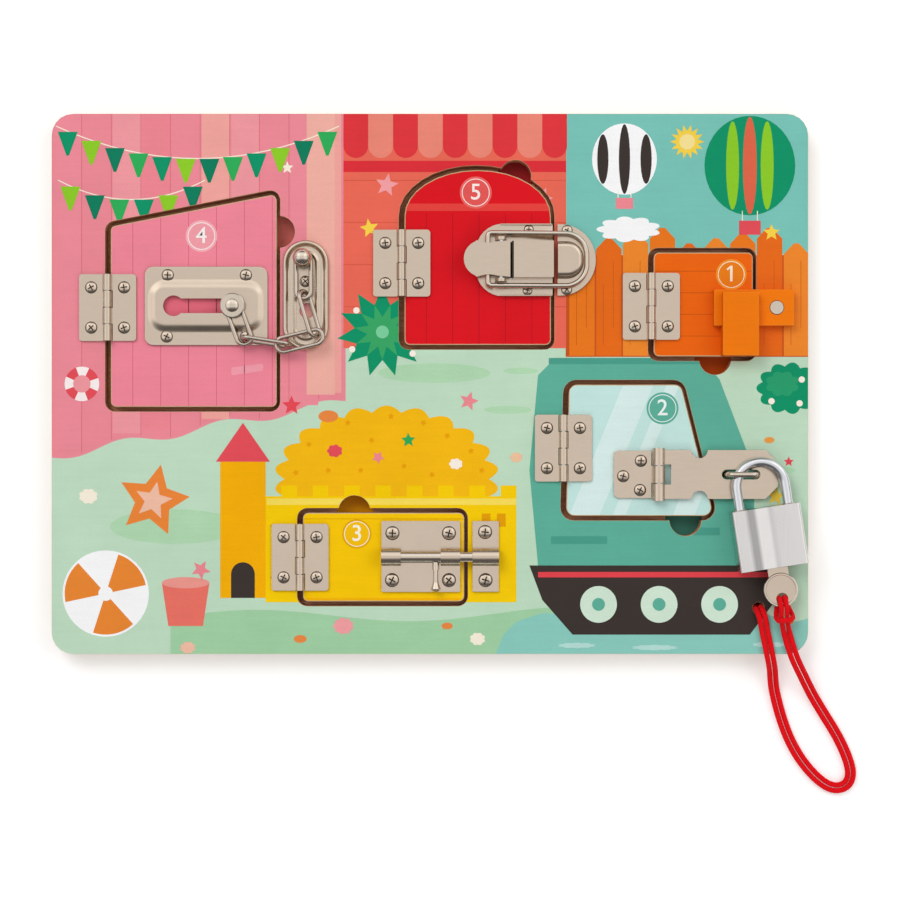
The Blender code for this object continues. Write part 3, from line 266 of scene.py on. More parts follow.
# The knot at the back shows a little way down the hole.
bpy.ops.mesh.primitive_uv_sphere_add(segments=24, ring_count=12, radius=0.0026,
                                     location=(0, 0, 0))
stopper = bpy.context.object
stopper.name = stopper.data.name = "cord_stopper"
stopper.data.transform(Matrix.Translation((*CORD_HOLE, 0.0032)))
bpy.ops.object.shade_smooth()
stopper.select_set(False)
stopper.data.materials.append(cord_red)
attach(stopper, "board")

tails, cords = [], []
for side, hand in ((-1, "left"), (1, "right")):
    strand = [p + w * side * STRAND_GAP for p, w in zip(middle, across)]
    turn = 2 * LOOP_TURN
    to_table = evenly(flowing(strand[:turn + 1], 4), BRAID_STEP)
    to_key = evenly(flowing(strand[turn:-3], 4), BRAID_STEP)
    tails.append(strand[-6:])
    for part, line in (("table", to_table), ("key", to_key)):
        piece = braided(f"cord_{part}_{hand}", line, CORD_RADIUS)
        piece.data.materials.append(cord_red)
        cords.append((piece, line))

knot_line = tails[0] + knot_side(-1) + knot_side(1)[::-1] + tails[1][::-1]
cord_knot = braided("cord_knot", evenly(flowing(knot_line, 3), BRAID_STEP),
                    CORD_RADIUS * 0.92)
cord_knot.data.materials.append(cord_red)
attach(cord_knot, "key")
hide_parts("cord")
for piece, line in cords:
    to_key = "key" in piece.name
    if to_key:
        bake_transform(piece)
    else:
        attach(piece, "board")
    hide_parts("cord")


# The board is two sheets of wood glued together. The front one has five doors
# sawn out of it with narrow gaps, and its face is printed, which leaves bare
# wood on every eased edge.
def alone(piece):
    """Only this piece is active and selected."""
    bpy.ops.object.select_all(action="DESELECT")
    bpy.context.view_layer.objects.active = piece
    piece.select_set(True)


def apply_modifiers(piece):
    """The piece's modifiers made part of its mesh, in order."""
    alone(piece)
    for modifier in list(piece.modifiers):
        bpy.ops.object.modifier_apply(modifier=modifier.name)
    piece.select_set(False)
    return piece


WELD, ALMOST_FLAT, NEARBY = 0.00001, math.radians(0.5), 0.00002
SMOOTH_ANGLE, FINE_ANGLE = 34, 40


def welded(piece, threshold, clean, **settings):
    """Points that meet made one, and then the mesh cleaned in one more way."""
    alone(piece)
    bpy.ops.object.mode_set(mode="EDIT")
    bpy.ops.mesh.select_all(action="SELECT")
    bpy.ops.mesh.remove_doubles(threshold=threshold)
    clean(**settings)
    bpy.ops.object.mode_set(mode="OBJECT")


def shaded(piece, angle):
    """Smooth shading that keeps flat faces flat and sharp edges sharp."""
    alone(piece)
    bpy.ops.object.shade_smooth_by_angle(angle=math.radians(angle))
    even = piece.modifiers.new("Even shading", "WEIGHTED_NORMAL")
    even.keep_sharp = True
    return apply_modifiers(piece)


def softened(piece, width, segments=2, angle=32):
    """The piece's sharp edges rounded, and its shading smooth between them."""
    bevel = piece.modifiers.new("Eased", "BEVEL")
    bevel.width, bevel.segments = width, segments
    bevel.limit_method, bevel.angle_limit = "ANGLE", math.radians(angle)
    return shaded(apply_modifiers(piece), SMOOTH_ANGLE)


def corner_rounded(piece, corners):
    """The upright edges at those places turned to an arc of that radius."""
    made = bmesh.new()
    made.from_mesh(piece.data)
    for x, y, radius in corners:
        edges = [edge for edge in made.edges if all(
            math.hypot(v.co.x - x, v.co.y - y) < NEARBY for v in edge.verts)]
        if edges:
            bmesh.ops.bevel(made, geom=edges, offset=radius, offset_type="OFFSET",
                            segments=6, profile=0.5, affect="EDGES")
    made.to_mesh(piece.data)
    made.free()


def eased(node, width, segments=2, corners=()):
    """A copy of a CAD part with softened edges, to stand in its place."""
    piece = nodes[node].copy()
    piece.data = nodes[node].data.copy()
    bpy.context.scene.collection.objects.link(piece)
    piece.parent = None
    for key in list(piece.keys()):
        del piece[key]
    piece.name = piece.data.name = f"{node}_finished"
    piece.data.materials.clear()
    welded(piece, WELD, bpy.ops.mesh.dissolve_limited, angle_limit=ALMOST_FLAT)
    corner_rounded(piece, corners)
    return softened(piece, width, segments)


def seat(piece, body, slot, *stands_for):
    """The finished piece set on its body, in place of the parts it stands for. The slot is not
    used.
    """
    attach(piece, body)
    if stands_for:
        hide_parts(*stands_for)
    return piece


def ranged(tree, low, high, to_low=0.0, to_high=1.0):
    """A node that turns one span of values into another."""
    return node_of(tree, "MapRange", **{
        "From Min": low, "From Max": high, "To Min": to_low, "To Max": to_high})


def wood(name, light, dark):
    """Bare close-grained wood: long streaks, pores and a faint sheen."""
    material, tree, shader = blank_material(name, shade_of(light), 0.62)
    place = node_of(tree, "TexCoord")
    stretch = node_of(tree, "Mapping", Scale=(60, 900, 900))
    grain = node_of(tree, "TexNoise", Scale=1.0, Detail=6.0,
                    Roughness=0.6, Distortion=0.5)
    ply = node_of(tree, "TexWave", bands_direction="Z", Scale=180.0,
                  Distortion=1.2, Detail=2.0)
    ramp = ramp_of(tree, (0.32, dark), (0.68, light))
    layers = node_of(tree, "Mix", data_type="RGBA", blend_type="MULTIPLY",
                     Factor=0.22)
    bump = node_of(tree, "Bump", Strength=0.25, Distance=0.0002)
    linked(tree, (place, "Object", stretch, "Vector"), (stretch, "Vector", grain, "Vector"),
           (place, "Object", ply, "Vector"), (grain, "Fac", ramp, "Fac"),
           (ramp, "Color", layers, "A"), (ply, "Color", layers, "B"),
           (layers, "Result", shader, "Base Color"), (grain, "Fac", bump, "Height"),
           (bump, "Normal", shader, "Normal"))
    return material


bare_wood = wood("Bare pale wood", "ecd3a6", "d6b27e")
cut_wood = wood("Sawn wood in the gaps", "e0a682", "b87652")
floor_wood = wood("Warm wood behind the doors", "eab48e", "cf8e64")

ink, tree, shader = blank_material("Printed ink on wood", (0.8, 0.8, 0.8), 0.5)
shader.inputs["Specular IOR Level"].default_value = 0.12
printed_colour = node_of(tree, "Attribute", attribute_name="ink")
place = node_of(tree, "TexCoord")
cloud = node_of(tree, "TexNoise", Scale=38.0, Detail=4.0, Roughness=0.6)
speck = node_of(tree, "TexNoise", Scale=1500.0, Detail=2.0)
stretch = node_of(tree, "Mapping", Scale=(40, 700, 40))
grain = node_of(tree, "TexNoise", Scale=1.0, Detail=5.0, Roughness=0.65)
MOST_NOISE = (0.3, 0.7)
tones = []
for source, low, high in ((cloud, 0.955, 1.03), (speck, 0.97, 1.025), (grain, 0.975, 1.02)):
    tones.append(ranged(tree, *MOST_NOISE, low, high))
    linked(tree, (source, "Fac", tones[-1], "Value"))
linked(tree, (place, "Object", cloud, "Vector"), (place, "Object", speck, "Vector"),
       (place, "Object", stretch, "Vector"), (stretch, "Vector", grain, "Vector"))
bump = node_of(tree, "Bump", Strength=0.18, Distance=0.0001)
first = node_of(tree, "Math", operation="MULTIPLY")
second = node_of(tree, "Math", operation="MULTIPLY")
mottle = node_of(tree, "VectorMath", operation="SCALE")
linked(tree, (tones[0], "Result", first, 0), (tones[1], "Result", first, 1),
       (first, "Value", second, 0), (tones[2], "Result", second, 1),
       (printed_colour, "Color", mottle, 0), (second, "Value", mottle, "Scale"),
       (mottle, "Vector", shader, "Base Color"), (grain, "Fac", bump, "Height"),
       (bump, "Normal", shader, "Normal"))


def inked(piece, code, only=None):
    """The piece's ink colour, written on its corners, or on chosen faces."""
    mesh = piece.data
    layer = mesh.attributes.get("ink") or mesh.attributes.new(
        "ink", "FLOAT_COLOR", "CORNER")
    colour = (*shade_of(code), 1)
    for face in mesh.polygons:
        if only is None or only(face):
            for i in face.loop_indices:
                layer.data[i].color = colour
    return piece


def faced(piece, code, top, side):
    """Ink on the top face, bare wood on the eased edges, another on the sides."""
    for material in (ink, bare_wood, side):
        piece.data.materials.append(material)
    for face in piece.data.polygons:
        if face.normal.z > 0.99 and face.center.z > top - 0.0001:
            face.material_index = 0
        elif abs(face.normal.z) > 0.12 and face.center.z > top - 0.001:
            face.material_index = 1
        else:
            face.material_index = 2
    return inked(piece, code)


back_panel = eased("back_panel", 0.0004)
for material in (bare_wood, floor_wood):
    back_panel.data.materials.append(material)
for face in back_panel.data.polygons:
    if face.normal.z > 0.9:
        face.material_index = 1
seat(back_panel, "board", "back_wood", "back_panel")

SAWN_EASE = 0.00045
front_panel = eased("front_panel", SAWN_EASE)
faced(front_panel, "c3e1c6", FACE, cut_wood)
OUTER, CORNER = (0.1745, 0.1245), (0.165, 0.115)
for face in front_panel.data.polygons:
    x, y = abs(face.center.x), abs(face.center.y)
    outside = x > OUTER[0] or y > OUTER[1] or (x > CORNER[0] and y > CORNER[1])
    if face.material_index == 2 and outside:
        face.material_index = 1
seat(front_panel, "board", "board_wood", "front_panel")


# Each of the five doors is the piece sawn from its opening, painted in one
# colour, with its thin pale edge showing where the corner has been eased.
DOOR_COLOURS = ("f2680c", "c8eae4", "ffcc00", "f48a9c", "e01420")
DOOR_SLOTS = ("orange_wood", "aqua_wood", "yellow_wood", "pink_wood", "red_wood")
for number in range(5):
    door = eased(f"door_{number + 1}", SAWN_EASE)
    faced(door, DOOR_COLOURS[number], FACE, cut_wood)
    for face in door.data.polygons:
        if face.normal.z < -0.9:
            face.material_index = 1
    seat(door, f"door_{number + 1}", DOOR_SLOTS[number], f"door_{number + 1}")


# The printed picture is a plain seaside scene: planked huts, a sand castle, a
# boat, balloons and flags. Each colour is a thin film of ink, drawn a little
# past the board's edges, trimmed to the printed faces and cut by every gap.
MM = 0.001
FILM = 0.00002
INK_ROOT = FACE - 0.0001
MASK_BELOW, MASK_HEIGHT = 0.0003, 0.001


def at_turn(cx, cy, rx, ry, turn):
    """The point of an ellipse at that turn."""
    return cx + rx * math.cos(turn), cy + ry * math.sin(turn)


def ring_of(cx, cy, rx, ry=None, steps=40, start=0.0, sweep=360.0):
    """An ellipse, or part of one, in millimetres."""
    return [at_turn(cx, cy, rx, ry or rx, math.radians(start + sweep * i / steps))
            for i in range(steps if sweep == 360.0 else steps + 1)]


def box_of(x0, y0, x1, y1):
    """A rectangle between two corners."""
    return [(x0, y0), (x1, y0), (x1, y1), (x0, y1)]


def star_of(cx, cy, outer, inner, points, turn=90.0):
    """A star with that many points."""
    return [at_turn(cx, cy, far, far, math.radians(turn + 180 * i / points))
            for i, far in enumerate((outer, inner) * points)]


def scalloped(cx, cy, rx, ry, bumps, depth):
    """A round shape with a bumpy edge."""
    out, steps = [], bumps * 8
    for i in range(steps):
        turn = 2 * math.pi * i / steps
        far = 1 - depth + depth * abs(math.sin(bumps * turn / 2))
        out.append(at_turn(cx, cy, rx * far, ry * far, turn))
    return out


def waved(x0, x1, low, high, rise, waves, lean=0.0, steps=48):
    """A strip with a level foot and a wavy top that may lean."""
    top = []
    for i in range(steps + 1):
        share = i / steps
        wave = rise * math.sin(2 * math.pi * waves * share)
        top.append((x0 + (x1 - x0) * share, high + lean * share + wave))
    return [(x0, low), (x1, low)] + top[::-1]


def board_of(x0, x1, low, high, point):
    """An upright fence board with a blunt pointed top."""
    mid = (x0 + x1) / 2
    return [(x0, low), (x1, low), (x1, high), (mid + 1.2, high + point),
            (mid - 1.2, high + point), (x0, high)]


def raised(made, faces, rise):
    """Those faces drawn out upwards into a solid, and its new corners."""
    grown = bmesh.ops.extrude_face_region(made, geom=faces)["geom"]
    moved = [v for v in grown if isinstance(v, bmesh.types.BMVert)]
    bmesh.ops.translate(made, verts=moved, vec=(0, 0, rise))
    return moved


def ink_film(name, shapes, lift):
    """Coloured outlines in millimetres made into one thin film of ink."""
    made = bmesh.new()
    colours = made.loops.layers.float_color.new("ink")
    for code, outline in shapes:
        points = [made.verts.new((x * MM, y * MM, INK_ROOT)) for x, y in outline]
        moved = raised(made, [made.faces.new(points)], FACE + lift - INK_ROOT)
        colour = (*shade_of(code), 1)
        for face in {f for v in moved + points for f in v.link_faces}:
            for loop in face.loops:
                loop[colours] = colour
    bmesh.ops.recalc_face_normals(made, faces=made.faces)
    film = built(name, made)
    film.data.materials.append(ink)
    return film


def face_mask(piece):
    """A slab under the piece's printed face, to trim films with."""
    made = bmesh.new()
    made.from_mesh(piece.data)
    bmesh.ops.delete(made, geom=[f for f in made.faces if f.material_index != 0],
                     context="FACES")
    bmesh.ops.translate(made, verts=made.verts, vec=(0, 0, -MASK_BELOW))
    raised(made, made.faces[:], MASK_HEIGHT)
    bmesh.ops.recalc_face_normals(made, faces=made.faces)
    return built("mask", made)


def cut_by(piece, other, operation="DIFFERENCE", materials="INDEX"):
    """The other shape taken out of the piece, or only their overlap kept."""
    cut = piece.modifiers.new("Cut", "BOOLEAN")
    cut.object, cut.operation, cut.solver = other, operation, "EXACT"
    cut.material_mode = materials
    return apply_modifiers(piece)


def joined(name, parts):
    """Several finished parts as one piece."""
    bpy.ops.object.select_all(action="DESELECT")
    for part in parts:
        part.select_set(True)
    bpy.context.view_layer.objects.active = parts[0]
    if len(parts) > 1:
        bpy.ops.object.join()
    parts[0].select_set(False)
    parts[0].name = parts[0].data.name = name
    return parts[0]


def print_on(name, layers, piece, body, slot):
    """Films printed one over another on a face, each trimmed to it."""
    mask = face_mask(piece)
    films = [cut_by(ink_film(f"{name}_{i + 1}", shapes, FILM * (i + 1)), mask, "INTERSECT")
             for i, shapes in enumerate(layers)]
    bpy.data.objects.remove(mask)
    return seat(joined(name, films), body, slot)


GREEN, LEAF, TEAL, POND = "0b9468", "8fce2a", "5fb29c", "8ecfc2"
WHITE, CREAM, MILK, DARK = "ffffff", "fdf3df", "fff4e6", "3b322e"
CORAL, ROSE, PINK, SAND = "e8505a", "f28b94", "f7a3a6", "f5c2a8"
GOLD, TAN, MEADOW, DEEP = "fbd64a", "ee8a44", "b3dcb4", "4b9f8c"
LEFT, RIGHT, BOTTOM, TOP = -176, 176, -126, 126
WALL_WIDE, PLANK, PLANK_START = 137, 13.7, -174.5
FENCE_BOARD, FENCE_START = 12.4, 64.5
CASTLE_STEP, MERLON, AWNING_STEP, SCALLOP = 14.5, 7.2, 11.5, 5.7


def wall_foot(x):
    """How low the pink wall comes at that place along the board."""
    share = (-39 - x) / WALL_WIDE
    return -8 - 26 * share + 2.2 * math.sin(6 * math.pi * share)


def string_of(x0, x1, y0, sag):
    """The cord that a row of flags hangs from."""
    upper = [(x0 + (x1 - x0) * i / 20, y0 - sag * 4 * (i / 20) * (1 - i / 20))
             for i in range(21)]
    return upper + [(x, y + 0.5) for x, y in upper[::-1]]


def many(outline, *rows):
    """Several shapes of one kind, each a colour and then its sizes."""
    return [(tone, outline(*sizes)) for tone, *sizes in rows]


wall_line = [LEFT + WALL_WIDE * i / 40 for i in range(41)]
pink_wall = [(LEFT, TOP), *((x, wall_foot(x)) for x in wall_line), (-39, TOP)]
pink_planks, fence, awning, flags = [], [], [], []
for i in range(10):
    x = PLANK_START + PLANK * i
    if i % 3 != 1:
        tone = ("f28e9c", "f08894", "f39aa2", "f4a79f")[i * 7 % 4]
        pink_planks.append((tone, box_of(x + 0.4, wall_foot(x) + 4, min(x + 13.2, -41), TOP)))
for i in range(9):
    x = FENCE_START + FENCE_BOARD * i
    tone = ("ef7a1d", "f28a2c", "ea6c18")[i * 2 % 3]
    fence.append((tone, board_of(x, x + 11.7, 13, 60 + i * 5 % 4 * 2.4, 5)))
castle = [(-76, -101), (40, -101)]
for i in range(8):
    x = 40 - i * CASTLE_STEP
    castle += [(x, -47), (x - MERLON, -47), (x - MERLON, -52), (x - CASTLE_STEP, -52)]
for i in range(9):
    x = -40 + AWNING_STEP * i
    scallop = ring_of(x + 5.75, 110, SCALLOP, 5.5, 12, 180, 180)[1:-1]
    awning.append((("e2383e", "f08a78")[i % 2],
                   [(x, TOP), (x, 110), *scallop, (x + 11.4, 110), (x + 11.4, TOP)]))
ROWS = ((-173, -42, 119, 15), (-172, -104, 94, 9))
for row, (x0, x1, y0, sag) in enumerate(ROWS):
    count = (12, 6)[row]
    for i in range(count):
        share = (i + 0.5) / count
        x, y = x0 + (x1 - x0) * share, y0 - sag * 4 * share * (1 - share)
        tone = (GREEN, LEAF, "0a7d5c", "2fae5a")[(i + row) % 4]
        flags.append((tone, [(x - 4.6, y), (x + 4.6, y), (x + 0.6, y - 11),
                             (x - 0.6, y - 11)]))

BALL, BUOY, BUSH, SUN = (-150, -97), (-161, 0), (-22, 24), (119, 112)
WHEELS = (78, 106, 134)
ball = [("ee8a34", [BALL] + ring_of(*BALL, 19, 19, 8, turn, 60)) for turn in (12, 132, 252)]
buoy = [(CORAL, [BUOY] + ring_of(*BUOY, 8, 8, 6, 90 * i + 20, 45)) for i in range(4)]
grains = [("efa300", star_of(x, y, 1.5, 0.8, 5, 40 * i)) for i, (x, y) in enumerate((
    (-56, -28), (-47, -40), (-38, -18), (-27, -26), (-18, -15), (-3, -18), (-12, -38),
    (8, -24), (19, -31), (24, -40), (-62, -41), (-32, -40), (1, -42)))]
ripples = [(MEADOW, ring_of(x, y, wide, high)) for x, y, wide, high in (
    (36, -12, 11, 1.8), (42, 6, 8, 1.5), (160, -40, 9, 2.0))]
foam = [("b9e2da", scalloped(x, y, wide, 1.3, 10, 0.2)) for x, y, wide in (
    (68, -121, 9), (104, -122, 11), (157, -120.6, 8))]
grounds = [
    ("f08c99", pink_wall), *many(box_of, ("7cc7bb", 63, 60, RIGHT, TOP),
                                 ("c9541f", 62.8, 12.5, RIGHT, 59.6)),
    ("a5d4a8", waved(-120, 60, BOTTOM, -108, 3.0, 1.2, 2)),
    ("fbbd0e", scalloped(-20, -44, 52, 34, 22, 0.09)),
    *many(ring_of, (MEADOW, -118, -66, 30, 8), (MEADOW, 2, 5, 26, 4.5)), *ripples]
walls = [
    *pink_planks, *fence, ("ee6b57", box_of(-40, 16.5, 63, TOP)), ("fdd000", castle),
    (TEAL, [(50, -84), (46, -40), (50, 4), (58, 12), (126, 12), (134, 2), (150, -40),
            (150, -84)]),
    (POND, [(30, BOTTOM), *waved(46, RIGHT, BOTTOM, -108, 2.0, 4.0)[1:], (40, -110),
            (34, -116)]),
    (WHITE, ring_of(*BALL, 20)), ("f0883a", star_of(-128, -54, 17, 8.5, 5, 78)),
    (GREEN, scalloped(166, -2, 15, 12, 11, 0.16))]
fronts = [
    *awning, *many(box_of, ("f5b3a6", -57, -5, -44, TOP), ("e0303a", -40, 98, 63, 103.2)),
    (DARK, [(46, -84), (166, -84), (160, -100), (148, -116), (66, -116), (52, -100)]),
    *many(box_of, ("fbb300", -97, -99, -76, -36), ("fee25c", -75.5, -56, 40, -53)),
    (WHITE, scalloped(92, 71.5, 15, 6, 9, 0.2)),
    *many(ring_of, (GREEN, 148, 101, 21, 23), (WHITE, 90, 104, 15, 16.5)),
    ("ef7567", [(-121, -112), (-105, -112), (-102, -92), (-124, -92)]),
    (GREEN, star_of(*BUSH, 21, 13, 11, 90)), (DEEP, box_of(55, 9.2, 129, 12)),
    ("fff4f2", ring_of(*BUOY, 8)), (GOLD, star_of(*SUN, 8, 5, 14, 0)), *foam, *ball,
    *[(tone, ring_of(x, y, r, r * 0.6, 18)) for tone, x, y, r in (
        (TAN, -47, -15, 4.6), (TAN, 8, -112, 2.6), ("f0a04a", 157, -26, 2.4),
        ("ee7a34", 166, -110, 2.2), (TAN, -60, -118, 3.0), ("f0a04a", 168, -72, 3.2))]]
details = [
    (CORAL, [(-99, -36), (-74, -36), (-86.5, -18)]),
    (DARK, [(-92, -99), (-81, -99), (-81, -88), *ring_of(-86.5, -88, 5.5, 5.5, 12, 0, 180),
            (-92, -88)]),
    ("e8454e", box_of(50, -89.5, 163, -87)), *((CREAM, string_of(*row)) for row in ROWS),
    *(("d6ecd8", ring_of(x, -102, 8.5)) for x in WHEELS),
    ("3aa866", star_of(*BUSH, 13, 7, 11, 106)),
    *many(ring_of, ("f39c92", -113, -92, 11, 2.6, 24), (DARK, 80, 104, 2.6, 11.5, 24),
          (DARK, 90, 104, 2.6, 16.2, 24), (DARK, 100, 104, 2.6, 11.5, 24),
          (LEAF, 140, 101, 3.0, 20.5, 24), (LEAF, 156, 101, 3.0, 20.5, 24),
          ("e2684a", 148, 101, 3.2, 22.6, 24)),
    *many(box_of, (ROSE, 86, 81, 94, 86), (CORAL, 143, 69, 153, 75.5)),
    ("2aa06f", scalloped(163, 0, 8, 6, 8, 0.2)), ("fde79a", ring_of(*SUN, 3.6)),
    *buoy, *grains,
    *[(CREAM, box_of(x - 0.2, low, x + 0.2, high)) for x, low, high in (
        (87, 86, 89), (93, 86, 89), (144.5, 75.5, 80), (151.5, 75.5, 80))],
    *[(MILK, ring_of(x, y, 1.5, 1.5, 12)) for x, y in (
        (158, -8), (172, 2), (171, -9), (-34, 34), (-12, 37), (-8, 14), (-36, 16))],
    *[(tone, star_of(x, y, r, r * 0.45, 5, turn)) for tone, x, y, r, turn in (
        (PINK, -20, 92, 5.5, 80), (GOLD, -28, 72, 4.5, 100), (PINK, 52, 86, 5.0, 70),
        (GOLD, 48, 30, 4.0, 95), ("e94b55", -64, -10, 4.6, 90), (ROSE, -106, -86, 4.6, 60),
        (GOLD, 158, 70, 4.0, 90), ("f7d24a", 160, -52, 4.4, 84), ("e94b55", 166, -36, 2.4, 90),
        (ROSE, 18, -8, 4.6, 75), (CREAM, -66, 100, 3.0, 90), (CREAM, -50, 60, 2.4, 90))]]
touches = [
    *flags, *((TEAL, ring_of(x, -102, 3.0, 3.0, 20)) for x in WHEELS),
    (SAND, star_of(-128, -54, 9, 4, 5, 78)),
    *many(box_of, (DEEP, 56, -74, 82, -70.5), (DEEP, 122, -70, 134, -66.5)),
    *many(scalloped, (PINK, -40, -112, 4.8, 3.9, 9, 0.16),
          (CREAM, -158, -52, 4.4, 3.6, 8, 0.16), (CREAM, 22, -118, 3.6, 3.0, 8, 0.16),
          (SAND, -112, -122, 3.6, 2.8, 8, 0.16)),
    (WHITE, ring_of(*BALL, 3.4, 3.4, 18)), ("f39aa2", ring_of(*BUOY, 4)),
    (CORAL, scalloped(-44, -31, 3.6, 3.0, 7, 0.18)),
    ("2fae5a", star_of(-10, -26, 3.4, 1.6, 5, 20)),
    (MILK, scalloped(12, -37, 3.2, 2.6, 7, 0.18)), (ROSE, star_of(-24, -34, 3.0, 1.5, 5, 60)),
    *many(box_of, ("e9a100", 24, -66, 28, -60), ("e9a100", 31, -66, 35, -60)),
    ("f3c6a0", scalloped(40, -34, 3.0, 2.4, 7, 0.18)),
    ("7fd3a0", ring_of(*BUSH, 3.0, 3.0, 18)),
    *[("e6a800", box_of(x, -66 - 12 * row, x + 9, -65.2 - 12 * row))
      for row, x in enumerate((-74, -69, -74))]]

# The plank joints are fine darker lines, printed over the planks alone.
joints = []
for i in range(9):
    x = PLANK_START + PLANK * i + 13.4
    joints.append(("dc6f7d", box_of(x - 0.14, wall_foot(x) + 1, x + 0.14, TOP)))
for i in range(1, 5):
    joints.append(("d8563f", box_of(-40, 16 + 19.5 * i, 63, 16.3 + 19.5 * i)))
for i in range(9):
    x = FENCE_START + FENCE_BOARD * i
    joints += many(box_of, ("c75a12", x + 3.2, 18, x + 3.45, 46),
                   ("c75a12", x + 7.8, 26, x + 8.05, 57))
print_on("board_print", (grounds, walls, joints, fronts, details, touches), front_panel,
         "board", "board_wood")


# The doors are printed with plank lines or glints, and a ringed disc with
# their number. Plain films of ink paint the notch floors in the picture's
# colours darkened as painted shade, and a small print waits behind each door.
def numbered(digit, x, y, radius, outer, inner, figure):
    """A door's figure, and its disc's films: the rim, the ring and the middle."""
    bpy.ops.object.text_add(location=(0, 0, 0))
    text = bpy.context.object
    text.data.body = digit
    text.data.align_x, text.data.align_y = "CENTER", "CENTER"
    text.data.size, text.data.offset, text.data.extrude = 0.0105, 0.00007, FILM * 2
    bpy.ops.object.convert(target="MESH")
    text = bpy.context.object
    text.data.transform(Matrix.Translation((x * MM, y * MM, FACE + FILM * 5)))
    text.data.materials.append(ink)
    inked(text, figure)
    text.select_set(False)
    return text, [[(tone, ring_of(x, y, radius * share, radius * share, 48))]
                  for tone, share in ((outer, 1), (figure, 0.87), (inner, 0.82))]


DOOR_LINES = (
    [("c4560c", box_of(101, y, 151, y + 0.28)) for y in (22, 32, 42, 52)],
    [("dcf2ee", glint) for glint in (
        [(64, -62), (78, -62), (104, 1), (90, 1)], [(84, -62), (90, -62), (116, 1), (110, 1)],
        [(112, -62), (122, -62), (128, -46), (118, -46)])],
    [("e0a500", box_of(-60, -62.6, 17, -62.3)), ("fbb800", box_of(-60, -102.4, 17, -99))],
    [("d96a80", box_of(-150.5 + 12.9 * i, -12, -150.2 + 12.9 * i, 92)) for i in range(1, 7)]
    + [("f7a0ae", [(-92, 6.2), (-91.6, 4.0), (-77.6, 6.0), (-77.0, 8.2), (-77.6, 9.4),
                   (-91.4, 7.6)])],
    [("b01022", box_of(-14 + 12.2 * i, 16, -13.75 + 12.2 * i, 79)) for i in range(1, 6)]
    + [("ea443e", box_of(-15, 80, 58, 83.4))],
)
DISCS = ((139.4, 50.6, 7.1, "f59a2e", "f08418", "fff3dc"),
         (107.6, -11.3, 7.4, TEAL, TEAL, "f2fbf8"),
         (-33.8, -69.4, 6.8, "e9ac00", "fcc40a", "fffbe8"),
         (-105.7, 68.4, 7.3, "f8b4bb", "f5a0aa", "fff4f2"),
         (21.2, 88.5, 7.4, "ee6a66", "e85a58", "fff0ec"))
for number, lines in enumerate(DOOR_LINES):
    x, y, *_, figure = DISCS[number]
    text, films = numbered(str(number + 1), *DISCS[number])
    # Door 4 gets a darker pink patch under the track plate, painted shade seen through its
    # keyhole slot.
    if number == 3:
        lines = lines + [("ea6e80", box_of(-124.2, 31, -86, 41))]
    if number == 0:
        films.append([(figure, [(x - 0.3, y + 4.1), (x - 2.2, y + 2.5), (x - 1.8, y + 1.9),
                                (x - 0.3, y + 2.9)])])
    body, slot = f"door_{number + 1}", DOOR_SLOTS[number]
    seat(text, body, slot)
    text.name = text.data.name = f"figure_{number + 1}"
    print_on(f"door_print_{number + 1}", (lines, *films), bpy.data.objects[f"{body}_finished"],
             body, slot)


def lower_print(name, shapes, lift, height):
    """A film on the back panel or a notch's floor, at that height."""
    film = ink_film(name, shapes, lift)
    film.data.transform(Matrix.Translation((0, 0, height + FILM - FACE)))
    return seat(film, "board", "back_wood")


# The floors of the finger notches carry the picture's colours, darkened as painted shade.
SHADED_NOTCH_FLOORS = (("c2500e", 131.9, 11.6), ("3f8272", 118.2, -63.0), ("e09a00", -35.0, -59.0),
          ("d97a72", -69.9, 70.4), ("a8262a", 39.5, 96.2))
lower_print("notch_floors", [(code, ring_of(x, y, 8.6, 8.6, 32)) for code, x, y in SHADED_NOTCH_FLOORS],
            0.0, 0.0027)

# A small sea creature or shell waits behind each door, one print on another.
for i, shapes in enumerate((
        [("f4b23c", ring_of(123, 37, 12, 7)), ("f4b23c", [(134, 37), (142, 44), (142, 30)]),
         (CORAL, star_of(92, -28, 13, 6, 5)), (POND, scalloped(-20, -81, 15, 9, 9, 0.2)),
         ("5aa7d6", ring_of(-116, 36, 17, 10)), ("5aa7d6", [(-100, 36), (-88, 46), (-88, 26)]),
         ("f08a78", scalloped(22, 55, 17, 13, 7, 0.25))],
        [(DARK, ring_of(117, 39, 1.4)), (GOLD, star_of(92, -28, 6, 3, 5)),
         ("e6f4ee", ring_of(-20, -81, 5, 4)), (DARK, ring_of(-124, 39, 1.6)),
         ("fff0ec", ring_of(22, 55, 6, 5))])):
    lower_print(f"inside_prints_{i + 1}", shapes, FILM * i, 0.003)
